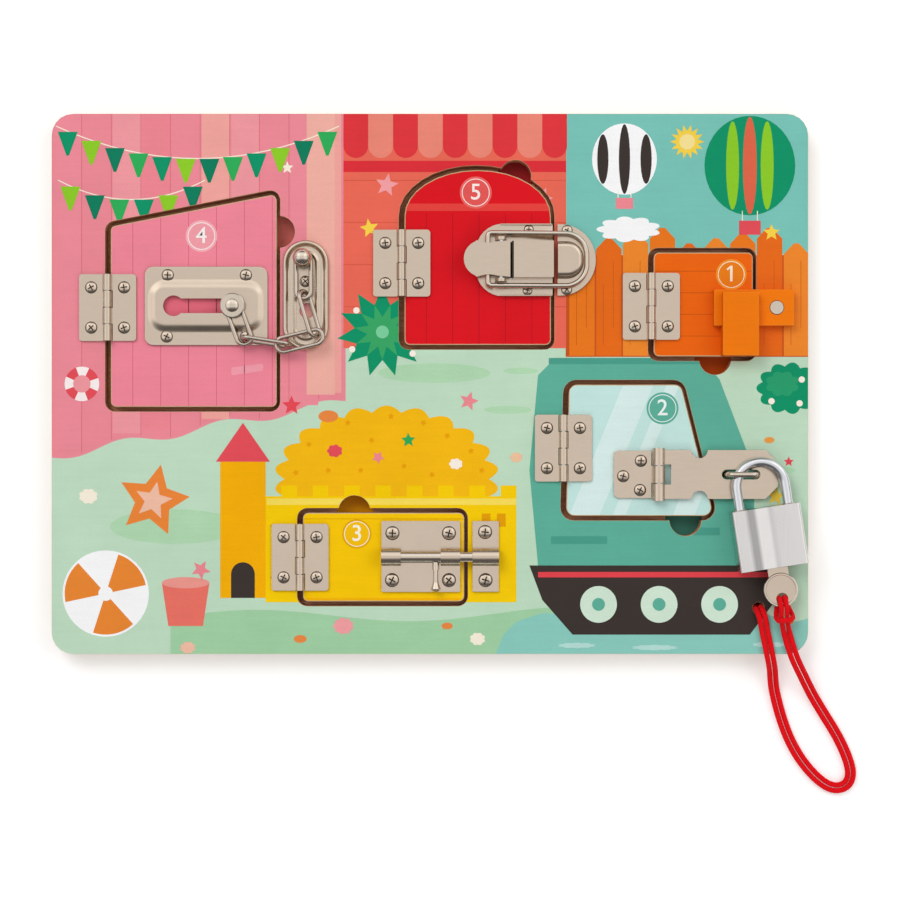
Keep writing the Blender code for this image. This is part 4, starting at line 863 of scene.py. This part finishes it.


# The metal parts have three kinds of finish: the plates are pressed steel with
# a warm satin nickel plating, the wires and rods are brighter, and the padlock
# is drawn metal with upright draw marks and bands of painted reflection.
def plated(name, colour, rough_low, rough_high, streak=(900, 60, 60), turn=0.0,
           tone=0.1, painted_reflection_band=None):
    """Plated metal: fine draw marks, faint blotches and uneven gloss, and at will a band of
    painted reflection across it.
    """
    material, tree, shader = blank_material(name, shade_of(colour), rough_low, 1.0)
    place = node_of(tree, "TexCoord")
    stretch = node_of(tree, "Mapping", Scale=streak, Rotation=(0, 0, turn))
    marks = node_of(tree, "TexNoise", Scale=1.0, Detail=5.0, Roughness=0.6)
    blotch = node_of(tree, "TexNoise", Scale=90.0, Detail=3.0)
    gloss = ranged(tree, *MOST_NOISE, rough_low, rough_high)
    shade = ranged(tree, *MOST_NOISE, 1 - tone, 1.02)
    dim = node_of(tree, "VectorMath", operation="SCALE")
    dim.inputs[0].default_value = shade_of(colour)
    bump = node_of(tree, "Bump", Strength=0.03, Distance=0.00003)
    linked(tree, (place, "Object", stretch, "Vector"), (stretch, "Vector", marks, "Vector"),
           (place, "Object", blotch, "Vector"), (blotch, "Fac", gloss, "Value"),
           (marks, "Fac", shade, "Value"), (gloss, "Result", shader, "Roughness"),
           (shade, "Result", dim, "Scale"), (marks, "Fac", bump, "Height"),
           (bump, "Normal", shader, "Normal"))
    if painted_reflection_band is None:
        linked(tree, (dim, "Vector", shader, "Base Color"))
        return material
    # The band multiplies the colour across the part in stripes: painted reflection.
    start, half_width, stops = painted_reflection_band
    across = node_of(tree, "Mapping", Location=start, Rotation=(0, 0, turn))
    apart = node_of(tree, "SeparateXYZ")
    span = ranged(tree, -half_width, half_width)
    sweep = ramp_of(tree, *stops)
    with_painted_reflection = node_of(tree, "Mix", data_type="RGBA", blend_type="MULTIPLY", Factor=1.0)
    linked(tree, (place, "Object", across, "Vector"), (across, "Vector", apart, "Vector"),
           (apart, "X", span, "Value"), (span, "Result", sweep, "Fac"),
           (dim, "Vector", with_painted_reflection, "A"), (sweep, "Color", with_painted_reflection, "B"),
           (with_painted_reflection, "Result", shader, "Base Color"))
    return material


nickel = plated("Satin nickel plate", "cdbcaa", 0.20, 0.27, streak=(160, 2600, 160),
                tone=0.035)
bright_nickel = plated("Bright nickel", "cfc2b3", 0.11, 0.18, tone=0.04)
chain_steel = plated("Chain wire", "bfb3a6", 0.13, 0.2, tone=0.05)
chrome = plated("Polished steel wire", "d2d3d6", 0.08, 0.15, tone=0.04)
# This near-black material is painted shade: it darkens the screw slots, the rings round the
# screw heads and the gap by the latch lever.
painted_shade = blank_material("Shadowed seat of a screw", (0.05, 0.04, 0.03), 0.6, 0.4)[0]


def metal_piece(node, body, slot, finish, width, segments=2, corners=()):
    """A CAD metal part with its edges eased and a plated finish."""
    piece = eased(node, width, segments, corners=corners)
    piece.data.materials.append(finish)
    return seat(piece, body, slot, node)


def plate_corners(node, sides, radius):
    """The plate's upright corners on those sides, each with its radius."""
    low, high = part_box(node)
    return [(low.x if side < 0 else high.x, y, radius)
            for side in sides for y in (low.y, high.y)]


MERGE = 0.000002


def lathed(name, profile, finish, place=(0, 0, 0), steps=40, turn=None):
    """A turned part: its outline, radius and height, spun about Z."""
    mesh = bpy.data.meshes.new(name)
    mesh.from_pydata([(r, 0, z) for r, z in profile], [
        (i, i + 1) for i in range(len(profile) - 1)], [])
    piece = shown(name, mesh)
    spin = piece.modifiers.new("Spin", "SCREW")
    spin.steps = spin.render_steps = steps
    spin.use_merge_vertices, spin.merge_threshold = True, MERGE
    spin.use_smooth_shade = True
    apply_modifiers(piece)
    welded(piece, MERGE, bpy.ops.mesh.normals_make_consistent, inside=False)
    bpy.ops.object.shade_smooth_by_angle(angle=math.radians(SMOOTH_ANGLE))
    piece.select_set(False)
    if turn is not None:
        piece.data.transform(turn)
    piece.data.transform(Matrix.Translation(place))
    piece.data.materials.append(finish)
    return piece


def wired(name, path, radius, finish, closed=False, sides=6):
    """A bent wire: a round curve along the path, turned into a mesh."""
    curve = bpy.data.curves.new(name, "CURVE")
    curve.dimensions = "3D"
    curve.bevel_depth, curve.bevel_resolution = radius, sides
    curve.use_fill_caps = True
    run = curve.splines.new("POLY")
    run.points.add(len(path) - 1)
    for point, at in zip(run.points, path):
        point.co = (*at, 1)
    run.use_cyclic_u = closed
    alone(shown(name, curve))
    bpy.ops.object.convert(target="MESH")
    piece = bpy.context.object
    bpy.ops.object.shade_smooth_by_angle(angle=math.radians(FINE_ANGLE))
    piece.select_set(False)
    piece.name = piece.data.name = name
    piece.data.materials.append(finish)
    return piece


def bar(name, low, high, finish=None):
    """A plain box between two corners."""
    low, high = Vector(low), Vector(high)
    bpy.ops.mesh.primitive_cube_add(size=1, location=(0, 0, 0))
    piece = bpy.context.object
    piece.name = piece.data.name = name
    piece.data.transform(
        Matrix.Translation((low + high) / 2) @ Matrix.Diagonal((*(high - low), 1)))
    piece.select_set(False)
    if finish is not None:
        piece.data.materials.append(finish)
    return piece


# Small plated cross-head screws with low domed heads hold every plate down.
# One is turned and has its cross cut, and the rest are copies set at odd
# angles.
SCREW_RADIUS = 0.00255
screw = lathed("screw", [
    (0, -0.0003), (SCREW_RADIUS, -0.0003), (SCREW_RADIUS, 0.00012),
    (0.00237, 0.00032), (0.0020, 0.00054), (0.0014, 0.00074), (0.0007, 0.00084),
    (0, 0.00087)], nickel, steps=36)
# The cut faces of the cross take the dark material, painted shade in the slot.
for turn in (0, math.pi / 2):
    slot = bar("cross", (-0.00155, -0.00027, 0.0001), (0.00155, 0.00027, 0.0014), painted_shade)
    slot.data.transform(Matrix.Rotation(turn, 4, "Z"))
    cut_by(screw, slot, materials="TRANSFER")
    bpy.data.objects.remove(slot)
# A thin flat dark ring round the head is painted shade where the countersink lies.
recess = lathed("recess", [
    (0.0024, -0.0001), (0.00285, -0.0001), (0.00285, 0.00004), (0.0024, 0.00004)],
    painted_shade, steps=36)
screw = joined("screw", [screw, recess])

PLATE_TOP, PIN_Z = 0.0133, 0.0143
HINGES = ((0.102315, 0.035809), (0.0617, -0.029725), (-0.059995, -0.08015),
          (-0.148895, 0.035234), (-0.013005, 0.055774))
SCREW_OUT, SCREW_UP, FIRST_TURN, NEXT_TURN = 0.0076, 0.0093, 0.35, 1.37
SCREWS = {body: [] for body in ("board", "door_1", "door_2", "door_3", "door_4", "door_5")}
for number, (x, y) in enumerate(HINGES, 1):
    for up in (-SCREW_UP, SCREW_UP):
        SCREWS["board"].append((x - SCREW_OUT, y + up, 1.0))
        SCREWS[f"door_{number}"].append((x + SCREW_OUT, y + up, 1.0))
SCREWS["door_2"] += [(0.0975, -0.0356, 1.0), (0.0893, -0.0427, 1.0), (0.0971, -0.0491, 1.0)]
SCREWS["door_3"] += [(-0.0173, -0.069, 1.15), (0.0088, -0.069, 1.15),
                     (-0.0175, -0.0907, 1.15), (0.0088, -0.0907, 1.15)]
SCREWS["door_4"] += [(-0.1211, 0.0502, 1.0), (-0.085, 0.0502, 1.0),
                     (-0.1216, 0.0218, 1.0), (-0.085, 0.0218, 1.0)]
SCREWS["door_5"] += [(0.0457, 0.0713, 0.8), (0.0451, 0.0431, 0.8)]
SCREWS["board"] += [(0.0255, -0.0685, 1.15), (0.0257, -0.0907, 1.15),
                    (0.0634, 0.0708, 0.9), (0.0632, 0.0435, 0.9),
                    (-0.0575, 0.0473, 0.95)]
for body, places in SCREWS.items():
    parts = []
    for i, (x, y, size) in enumerate(places):
        part = shown("screw", screw.data.copy())
        part.data.transform(
            Matrix.Translation((x, y, PLATE_TOP))
            @ Matrix.Rotation(FIRST_TURN + NEXT_TURN * i, 4, "Z") @ Matrix.Scale(size, 4))
        parts.append(part)
    seat(joined(f"screws_{body}", parts), body, "nickel")
bpy.data.objects.remove(screw)


# Each of the five butt hinges is two stamped, nickel-plated leaves, whose
# curled knuckles take turns on a steel pin. Screws hold one leaf to the board
# and the other to its door.
for number, (x, y) in enumerate(HINGES, 1):
    for leaf, body, side, radius in (("frame", "board", -1, 0.0013),
                                     ("door", f"door_{number}", 1, 0.0016)):
        node = f"hinge_{number}_{leaf}_leaf"
        metal_piece(node, body, "nickel", nickel, 0.0003,
                    corners=plate_corners(node, [side], radius))
    pin = lathed(f"hinge_{number}_pin_finished", [
        (0, -0.01545), (0.00085, -0.01545), (0.00085, 0.0151), (0.0006, 0.01545),
        (0, 0.01545)], chrome, (x, y, PIN_Z), 20, Matrix.Rotation(math.pi / 2, 4, "X"))
    seat(pin, "board", "steel", f"hinge_{number}_pin")


# Door 1 is held by a painted wooden bar, with a magnet let into its end that
# reaches over the frame. A thicker block on it gives the fingers something to
# hold.
for node in ("latch_bar", "latch_grip"):
    piece = eased(node, 0.0005, 3)
    faced(piece, "f67c08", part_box(node)[1].z, ink)
    # The sides are painted a darker orange as painted shade, and the eased top edges a lighter
    # orange as painted highlight.
    inked(piece, "ea6404", lambda face: face.normal.z < 0.9)
    for face in piece.data.polygons:
        if face.material_index == 1:
            face.material_index = 0
            inked(piece, "f8861c", lambda other: other == face)
    seat(piece, "door_1", "orange_wood", node)
for node, body in (("bar_magnet", "door_1"), ("frame_magnet", "board")):
    metal_piece(node, body, "magnet", bright_nickel, 0.0002)


# Door 2 has a hasp: a stamped strap turns on a pin in its leaf's knuckle and
# drops its slot over a steel staple. The padlock hangs by its shackle through
# the staple.
metal_piece("hasp_leaf", "door_2", "nickel", nickel, 0.0003,
            corners=plate_corners("hasp_leaf", [-1], 0.0022))
metal_piece("hasp_pin", "door_2", "steel", chrome, 0.0002)
metal_piece("hasp_strap", "hasp", "nickel", nickel, 0.00025)


def arc(cx, cy, radius, start, sweep, steps):
    """Points round part of a circle."""
    return [at_turn(cx, cy, radius, radius, start + sweep * i / steps)
            for i in range(steps + 1)]


staple_path = [(-0.00665, 0.007), *arc(-0.00365, 0.0206, 0.003, math.pi, -math.pi / 2, 8),
               *arc(0.00365, 0.0206, 0.003, math.pi / 2, -math.pi / 2, 8), (0.00665, 0.007)]
STAPLE_X, STAPLE_Y = 0.1436, -0.0419
staple = wired("staple_finished", [(STAPLE_X + x, STAPLE_Y, z) for x, z in staple_path],
               0.00125, bright_nickel)
seat(staple, "board", "steel", "staple")

PADLOCK, BOW = (0.1557, -0.0707, 0.0188), 0.01125
LIE = Matrix.Translation(PADLOCK) @ Matrix.Rotation(LEAN, 4, "Z")
shackle_path = [(BOW, -0.005), *arc(0, 0.0236, BOW, 0, math.pi, 40), (-BOW, 0.008)]
shackle = wired("shackle_finished", [LIE @ Vector((x, y, 0)) for x, y in shackle_path],
                0.00235, chrome, sides=10)
seat(shackle, "shackle", "steel", "shackle")

# The padlock's band is painted reflection: a dark stripe, a bright middle and dimmer sides
# across its case.
drawn = plated("Drawn metal of the padlock", "e8e5e3", 0.22, 0.28,
               streak=(2400, 60, 200), turn=-LEAN, tone=0.04, painted_reflection_band=(
                   (-PADLOCK[0] * math.cos(LEAN) - PADLOCK[1] * math.sin(LEAN), 0, 0), 0.0159,
                   ((0.0, 0.86), (0.18, 0.88), (0.24, 0.5), (0.31, 0.52), (0.36, 1.0),
                    (0.5, 1.0), (0.55, 0.76), (0.62, 0.86), (1.0, 0.9))))
metal_piece("padlock_case", "padlock", "lock_metal", drawn, 0.0006, 3)
brass = plated("Brass plug", "cfa45a", 0.22, 0.36)
metal_piece("lock_plug", "key", "brass", brass, 0.0002)
collars = [lathed("collar", [
    (0.00242, 0), (0.0033, 0), (0.0031, 0.0003), (0.00242, 0.0003)], bright_nickel,
    steps=28, turn=LIE @ Matrix.Translation((side * BOW, 0.014, 0))
    @ Matrix.Rotation(-math.pi / 2, 4, "X")) for side in (-1, 1)]
seat(joined("shackle_collars", collars), "padlock", "lock_metal")

metal_piece("key", "key", "nickel", nickel, 0.0002)
rim = lathed("key_rim", [
    (0.0068, -0.0010), (0.0070, -0.00118), (0.0076, -0.00118), (0.0079, -0.0009),
    (0.0079, 0.0009), (0.0076, 0.00118), (0.0070, 0.00118), (0.0068, 0.0010),
    (0.0068, -0.0010)], bright_nickel, steps=48,
    turn=LIE @ Matrix.Translation((0.0018, -0.0247, 0)))
seat(rim, "key", "nickel")


# Door 3 has a barrel bolt: a turned rod slides in two half-round guides
# pressed up from its plate, into a keeper on the frame, and is pushed along by
# a flared handle.
for node, body in (("bolt_plate", "door_3"), ("keeper", "board")):
    metal_piece(node, body, "nickel", nickel, 0.0002,
                corners=plate_corners(node, (-1, 1), 0.0006))
BOLT_Y, BOLT_Z, HANDLE_X = -0.0798, 0.0163, 0.0027
along_x, down_y = (Matrix.Rotation(math.pi / 2, 4, axis) for axis in "YX")
bolt = lathed("bolt", [
    (0, 0), (0.0022, 0), (0.0027, 0.0005), (0.0027, 0.0505), (0.0022, 0.0511),
    (0, 0.0511)], bright_nickel, (-0.0215, BOLT_Y, BOLT_Z), 40, along_x)
collar = lathed("bolt_collar", [(0.0016, 0), (0.0016, 0.0035)], bright_nickel,
                (HANDLE_X, BOLT_Y - 0.0024, BOLT_Z), 24, down_y)
handle = lathed("handle", [
    (0, 0), (0.0011, 0), (0.0011, 0.0093), (0.0014, 0.0108), (0.0023, 0.01295),
    (0.0021, 0.0136), (0.0010, 0.0143), (0, 0.0145)], bright_nickel,
    (HANDLE_X, BOLT_Y - 0.0018, BOLT_Z), 24, down_y)
seat(joined("bolt_rod_finished", [bolt, collar, handle]), "bolt", "steel", "bolt_rod")


# Door 4 has a door chain: the slider's stud runs in a keyhole slot in the
# raised track plate, and five welded wire links hang between it and the
# knob's plate on the frame.
SLIDER = (-0.0909, 0.03596, FACE)


def round_box(cx, cy, width, height, radius, inward=0.0, steps=8):
    """A rounded rectangle drawn in by that much, always with as many points."""
    half_w, half_h = width / 2 - inward, height / 2 - inward
    radius = max(radius - inward, 0.0002)
    return [at_turn(cx + sx * (half_w - radius), cy + sy * (half_h - radius),
                    radius, radius, turn + math.pi / 2 * i / steps)
            for sx, sy, turn in ((1, 1, 0), (-1, 1, math.pi / 2), (-1, -1, math.pi),
                                 (1, -1, 1.5 * math.pi))
            for i in range(steps + 1)]


def stacked(sizes, heights, steps=8):
    """Rounded rectangles, each drawn in by so much at its height."""
    return [(round_box(*sizes, inward, steps), z) for inward, z in heights]


def pressed(name, rings):
    """Outlines at their heights joined into one closed pressed shape."""
    made = bmesh.new()
    rows = [[made.verts.new((x, y, z)) for x, y in outline] for outline, z in rings]
    for low, high in zip(rows, rows[1:]):
        for i in range(len(low)):
            j = (i + 1) % len(low)
            made.faces.new((low[i], low[j], high[j], high[i]))
    made.faces.new(rows[0][::-1])
    made.faces.new(rows[-1])
    bmesh.ops.recalc_face_normals(made, faces=made.faces)
    return built(name, made)


def slab(name, outline, low, high):
    """An upright block with that outline, to cut with."""
    return pressed(name, [(outline, low), (outline, high)])


def carved(piece, *cutters, operation="DIFFERENCE"):
    """The piece cut by each of the cutters, which are then thrown away."""
    for cutter in cutters:
        cut_by(piece, cutter, operation)
        bpy.data.objects.remove(cutter)
    return piece


def finely_shaded(piece):
    """A pressed plate's smooth shading and its nickel."""
    shaded(piece, FINE_ANGLE).data.materials.append(nickel)
    return piece


TRACK = (-0.1034, 0.03596)
SLOPE = ((0.0, 0.0133), (0.0004, 0.01332), (0.0011, 0.01352), (0.0019, 0.01386),
         (0.0027, 0.01422), (0.0034, 0.01446), (0.0041, 0.01457), (0.0047, 0.0146))
FLANGE = ((0, 0.0123), (0, 0.0131), (0.0001, 0.01323), (0.0003, PLATE_TOP))
track = pressed("track_plate_finished", [*stacked((*TRACK, 0.0568, 0.0365, 0.004), FLANGE),
                                         *stacked((*TRACK, 0.0546, 0.0250, 0.0085), SLOPE)])
HOLE_X, SLOT_END = -0.1183, -0.0874
HOLES = (((*TRACK, 0.0546, 0.0227, 0.006, 0.0036), 0.0136),
         ((HOLE_X, TRACK[1], 0.0096, 0.0096, 0.0048), 0.016),
         (((HOLE_X + SLOT_END) / 2, TRACK[1], SLOT_END - HOLE_X, 0.0068, 0.0034), 0.016))
carved(track, *[slab("hole", round_box(*sizes), FACE, top) for sizes, top in HOLES])
seat(finely_shaded(track), "door_4", "nickel", "track_plate")

post_low, post_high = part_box("post_plate")
POST = ((post_low.x + post_high.x) / 2, (post_low.y + post_high.y) / 2)
post = pressed("post_plate_finished", stacked((*POST, 0.0213, 0.0509, 0.01065), (
    (0, 0.0123), (0, 0.0133), (0.00015, 0.01385), (0.0005, 0.0143), (0.001, 0.0145),
    (0.0015, 0.01442), (0.0019, 0.0141), (0.0022, 0.01365), (0.0026, 0.0134),
    (0.0032, 0.0133), (0.0042, 0.0133), (0.0046, 0.01345), (0.0050, 0.0138),
    (0.0054, 0.01398), (0.0058, 0.01385), (0.0062, 0.0135), (0.0066, 0.0133)), 12))
hole = round_box(POST[0] + 0.00065, POST[1] - 0.00715, 0.0072, 0.0072, 0.0036)
carved(post, slab("hole", hole, 0.0115, 0.0136))
seat(finely_shaded(post), "board", "nickel", "post_plate")
slider = lathed("chain_slider_finished", [
    (0, 0.0003), (0.0043, 0.0003), (0.0043, 0.0013), (0.0017, 0.0013),
    (0.0017, 0.0052), (0.0054, 0.0052), (0.0057, 0.0054), (0.0057, 0.0059),
    (0.0053, 0.0062), (0.0031, 0.0061), (0.0028, 0.0064), (0.0026, 0.0071),
    (0.0018, 0.0075), (0.0008, 0.0077), (0, 0.0077)], bright_nickel, SLIDER, 44)
seat(slider, "slider", "nickel", "chain_slider")
KNOB, KNOB_HIGH = 0.0044, 0.0069
ball = [(KNOB * math.sin(math.pi * i / 24), KNOB_HIGH - KNOB * math.cos(math.pi * i / 24))
        for i in range(4, 24)]
knob = lathed("post_knob_finished", [
    (0, 0), (0.0026, 0), (0.0026, 0.0006), (0.0020, 0.0010), (0.0020, 0.0028), *ball,
    (0, 0.0113)], bright_nickel, (-0.0585, 0.0576, 0.0136), 44)
seat(knob, "board", "nickel", "post_knob")

LINK_LENGTH, LINK_HALF, LINK_WIRE = 0.0240, 0.0034, 0.0010
LINKS = (
    ((0.110, -0.311, 0.180), (0.347, -0.937, 0.048), 0.0),
    ((0.652, -0.700, 0.250), (0.988, -0.153, 0.023), 1.37),
    ((1.294, -0.682, 0.263), (0.971, 0.232, 0.062), -0.01),
    ((1.479, -0.164, 0.243), (0.286, -0.955, 0.077), -0.89),
    ((1.359, 0.586, 0.162), (-0.014, 0.993, -0.119), -0.01),
)
LINK_PITCH, FAR_OFF = 0.010, Vector((1.5, 0, 0))
# How far each link's two ends are meant to follow the slider, from 0 to 1. The span worked out
# from them is not used, and the links stay where they are drawn.
FOLLOWS = ((1.0, 0.755), (0.755, 0.755), (0.755, 0.755), (0.378, 0.755), (0.378, 0.0))
for number, (middle_share, run, roll) in enumerate(LINKS):
    ahead = Vector(run).normalized()
    side = Matrix.Rotation(roll, 3, ahead) @ ahead.cross(Vector((0, 0, 1))).normalized()
    centre = Vector(SLIDER) + Vector(middle_share) * LINK_LENGTH
    straight = LINK_LENGTH / 2 - LINK_WIRE - LINK_HALF
    outline = arc(straight, 0, LINK_HALF, -math.pi / 2, math.pi, 16)
    outline += arc(-straight, 0, LINK_HALF, math.pi / 2, math.pi, 16)
    link = wired(f"chain_link_{number + 1}_finished",
                 [centre + ahead * a + side * b for a, b in outline],
                 LINK_WIRE, chain_steel, closed=True)
    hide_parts(f"chain_link_{number + 1}")
    first, last = FOLLOWS[number]
    if first == last:
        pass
    else:
        span = ahead * (2 * LINK_PITCH / (last - first))
    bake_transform(link)


# Door 5 has a toggle latch: the lever turns on a pin between two lugs and
# draws a wire bail tight over the blunt nose of a half-round catch on the
# frame.
LATCH_Y = 0.0572
base = eased("latch_base", 0.0004, 3)
rounded_end = round_box(0.0813, LATCH_Y, 0.12, 0.0335, 0.0125)
carved(base, slab("trim", rounded_end, 0.010, 0.03), operation="INTERSECT")
base.data.materials.append(nickel)
seat(base, "door_5", "nickel", "latch_base")
metal_piece("latch_lever", "lever", "nickel", nickel, 0.0005, 3)
# The two dark bars fill the gap between the lever and the box with painted shade; the two
# nickel bars beside them are flanges.
shade = [bar("shade", (0.0378, 0.0489, 0.0133), (0.03862, 0.0655, 0.0193), painted_shade),
         bar("shade", (0.0362, 0.0489, 0.0133), (0.0378, 0.0655, 0.0136), painted_shade)]
for side in (-0.01642, 0.01642):
    shade.append(bar("flange", (0.0325, LATCH_Y + side - 0.0003, 0.0132),
                     (0.0565, LATCH_Y + side + 0.0003, 0.0146), nickel))
softened(joined("latch_edges", shade), 0.0003, 3)
seat(bpy.data.objects["latch_edges"], "door_5", "nickel")
metal_piece("lever_pin", "door_5", "steel", chrome, 0.0002)
CATCH_X = 0.0589
disc = pressed("disc", stacked((CATCH_X + 0.0012, LATCH_Y, 0.0334, 0.0334, 0.0167), (
    (0, 0.0123), (0, 0.013), (0.0001, 0.01318), (0.0003, 0.0133)), 12))
nose = pressed("nose", stacked((CATCH_X + 0.0018, LATCH_Y, 0.0196, 0.0161, 0.0072), (
    (-0.0006, 0.0128), (-0.0006, 0.01335), (-0.0003, 0.0137), (-0.0001, 0.0145),
    (0, 0.0163), (0.0002, 0.017), (0.0006, 0.01755), (0.0011, 0.0179), (0.0017, 0.0181),
    (0.0023, 0.0182)), 12))
halves = []
for half in (disc, nose):
    carved(half, bar("left", (0.03, 0.02, 0.005), (CATCH_X, 0.1, 0.03)))
    halves.append(softened(half, 0.0003, 2, 60))
    half.data.materials.append(nickel)
seat(joined("catch_finished", halves), "board", "nickel", "catch")
BAIL_X, BAIL_Z, BAIL_LENGTH, BAIL_FALL = 0.0329 - 0.0062, 0.0186, 0.0457, 0.0033
quarter = math.pi / 2
bail_plan = [(0, -0.006067), (0, -0.0105), *arc(0.0016, -0.0105, 0.0016, math.pi, quarter, 6),
             *arc(0.0357, -0.0021, 0.01, -quarter, quarter, 16),
             *arc(0.0357, 0.0021, 0.01, 0, quarter, 16),
             *arc(0.0016, 0.0105, 0.0016, quarter, quarter, 6), (0, 0.006067)]
bail = wired("latch_bail_finished", [
    (BAIL_X + x, LATCH_Y + y, BAIL_Z - BAIL_FALL * x / BAIL_LENGTH)
    for x, y in bail_plan], 0.00115, bright_nickel, sides=8)
seat(bail, "bail", "steel", "latch_bail")


# The studio is a plain white table under soft even light, with the table's
# white taken up for the camera and for reflections, so the toy's own shadow
# still shows.
bpy.ops.mesh.primitive_plane_add(size=12, location=(0, 0, -0.0003))
table = bpy.context.object
table.name = "table"
white, tree, shader = blank_material("White table", (0.93, 0.93, 0.93), 0.9)
shader.inputs["Specular IOR Level"].default_value = 0.0
rays = node_of(tree, "LightPath")
seen = node_of(tree, "Math", operation="MAXIMUM")
lifted = node_of(tree, "Math", operation="MULTIPLY")
# Far from the toy, past the lamps' reach, the table glows up to full white.
about = node_of(tree, "TexCoord")
how_far = node_of(tree, "VectorMath", operation="LENGTH")
rise = ranged(tree, 0.32, 1.3, 0.24, 1.0)
glow = node_of(tree, "Emission")
mixed = node_of(tree, "AddShader")
linked(tree, (about, "Object", how_far, 0), (how_far, "Value", rise, "Value"),
       (rise, "Result", lifted, 1), (rays, "Is Camera Ray", seen, 0),
       (rays, "Is Glossy Ray", seen, 1), (seen, "Value", lifted, 0),
       (lifted, "Value", glow, "Strength"), (shader, "BSDF", mixed, 0),
       (glow, "Emission", mixed, 1),
       (mixed, "Shader", tree.nodes["Material Output"], "Surface"))
table.data.materials.append(white)

world = bpy.context.scene.world or bpy.data.worlds.new("World")
bpy.context.scene.world = world
world.use_nodes = True
sky = world.node_tree
back = sky.nodes["Background"]
back.inputs["Color"].default_value = (1, 1, 1, 1)
rays = node_of(sky, "LightPath")
strength = node_of(sky, "Mix", data_type="FLOAT", A=0.40, B=1.0)
seen = node_of(sky, "Math", operation="MAXIMUM")
shiny = node_of(sky, "Math", operation="MAXIMUM")
linked(sky, (rays, "Is Camera Ray", seen, 0), (rays, "Is Glossy Ray", shiny, 0),
       (rays, "Is Transmission Ray", shiny, 1), (shiny, "Value", seen, 1),
       (seen, "Value", strength, "Factor"), (strength, "Result", back, "Strength"))
# Shiny metal sees a dark room low in front, and a bright window low behind.
way = node_of(sky, "TexCoord")
axes = node_of(sky, "SeparateXYZ")
span = ranged(sky, -1.0, 1.0)
room = ramp_of(sky, (0.0, 0.34), (0.06, 0.15), (0.20, 0.13), (0.30, 0.34), (0.40, 0.98),
               (0.5, 1.02), (0.60, 0.95), (0.70, 1.35), (0.88, 1.35), (1.0, 0.25))
told = node_of(sky, "Mix", data_type="RGBA", A=(1, 1, 1, 1))
linked(sky, (way, "Generated", axes, "Vector"), (axes, "Y", span, "Value"),
       (span, "Result", room, "Fac"), (rays, "Is Glossy Ray", told, "Factor"))
low_down = ranged(sky, 0.0, 0.5, 0.34, 1.0)
dimmed = node_of(sky, "VectorMath", operation="SCALE")
beside = node_of(sky, "Math", operation="ABSOLUTE")
windows = ramp_of(sky, (0.1, 0.8), (0.3, 0.74), (0.5, 0.98), (0.8, 0.98), (1.0, 0.6))
both_ways = node_of(sky, "VectorMath", operation="MULTIPLY")
lifted = node_of(sky, "VectorMath", operation="SCALE", Scale=1.25)
linked(sky, (axes, "Z", low_down, "Value"), (axes, "X", beside, 0),
       (beside, "Value", windows, "Fac"), (room, "Color", both_ways, 0),
       (windows, "Color", both_ways, 1), (both_ways, "Vector", lifted, 0),
       (lifted, "Vector", dimmed, 0), (low_down, "Result", dimmed, "Scale"),
       (dimmed, "Vector", told, "B"), (told, "Result", back, "Color"))

for name, place, size, power in (
        ("Key light", (-0.7, 0.9, 1.5), 1.0, 13.5),
        ("Fill light", (1.1, 0.3, 1.3), 1.2, 6.5),
        ("Front light", (0.1, -1.3, 1.2), 1.0, 4.2)):
    bpy.ops.object.light_add(type="AREA", location=place)
    lamp = bpy.context.object
    lamp.name = name
    lamp.data.size = size
    lamp.data.energy = power
    lamp.visible_glossy = False
    lamp.rotation_euler = Vector(place).to_track_quat("Z", "Y").to_euler()

bpy.context.scene.view_settings.view_transform = "Standard"
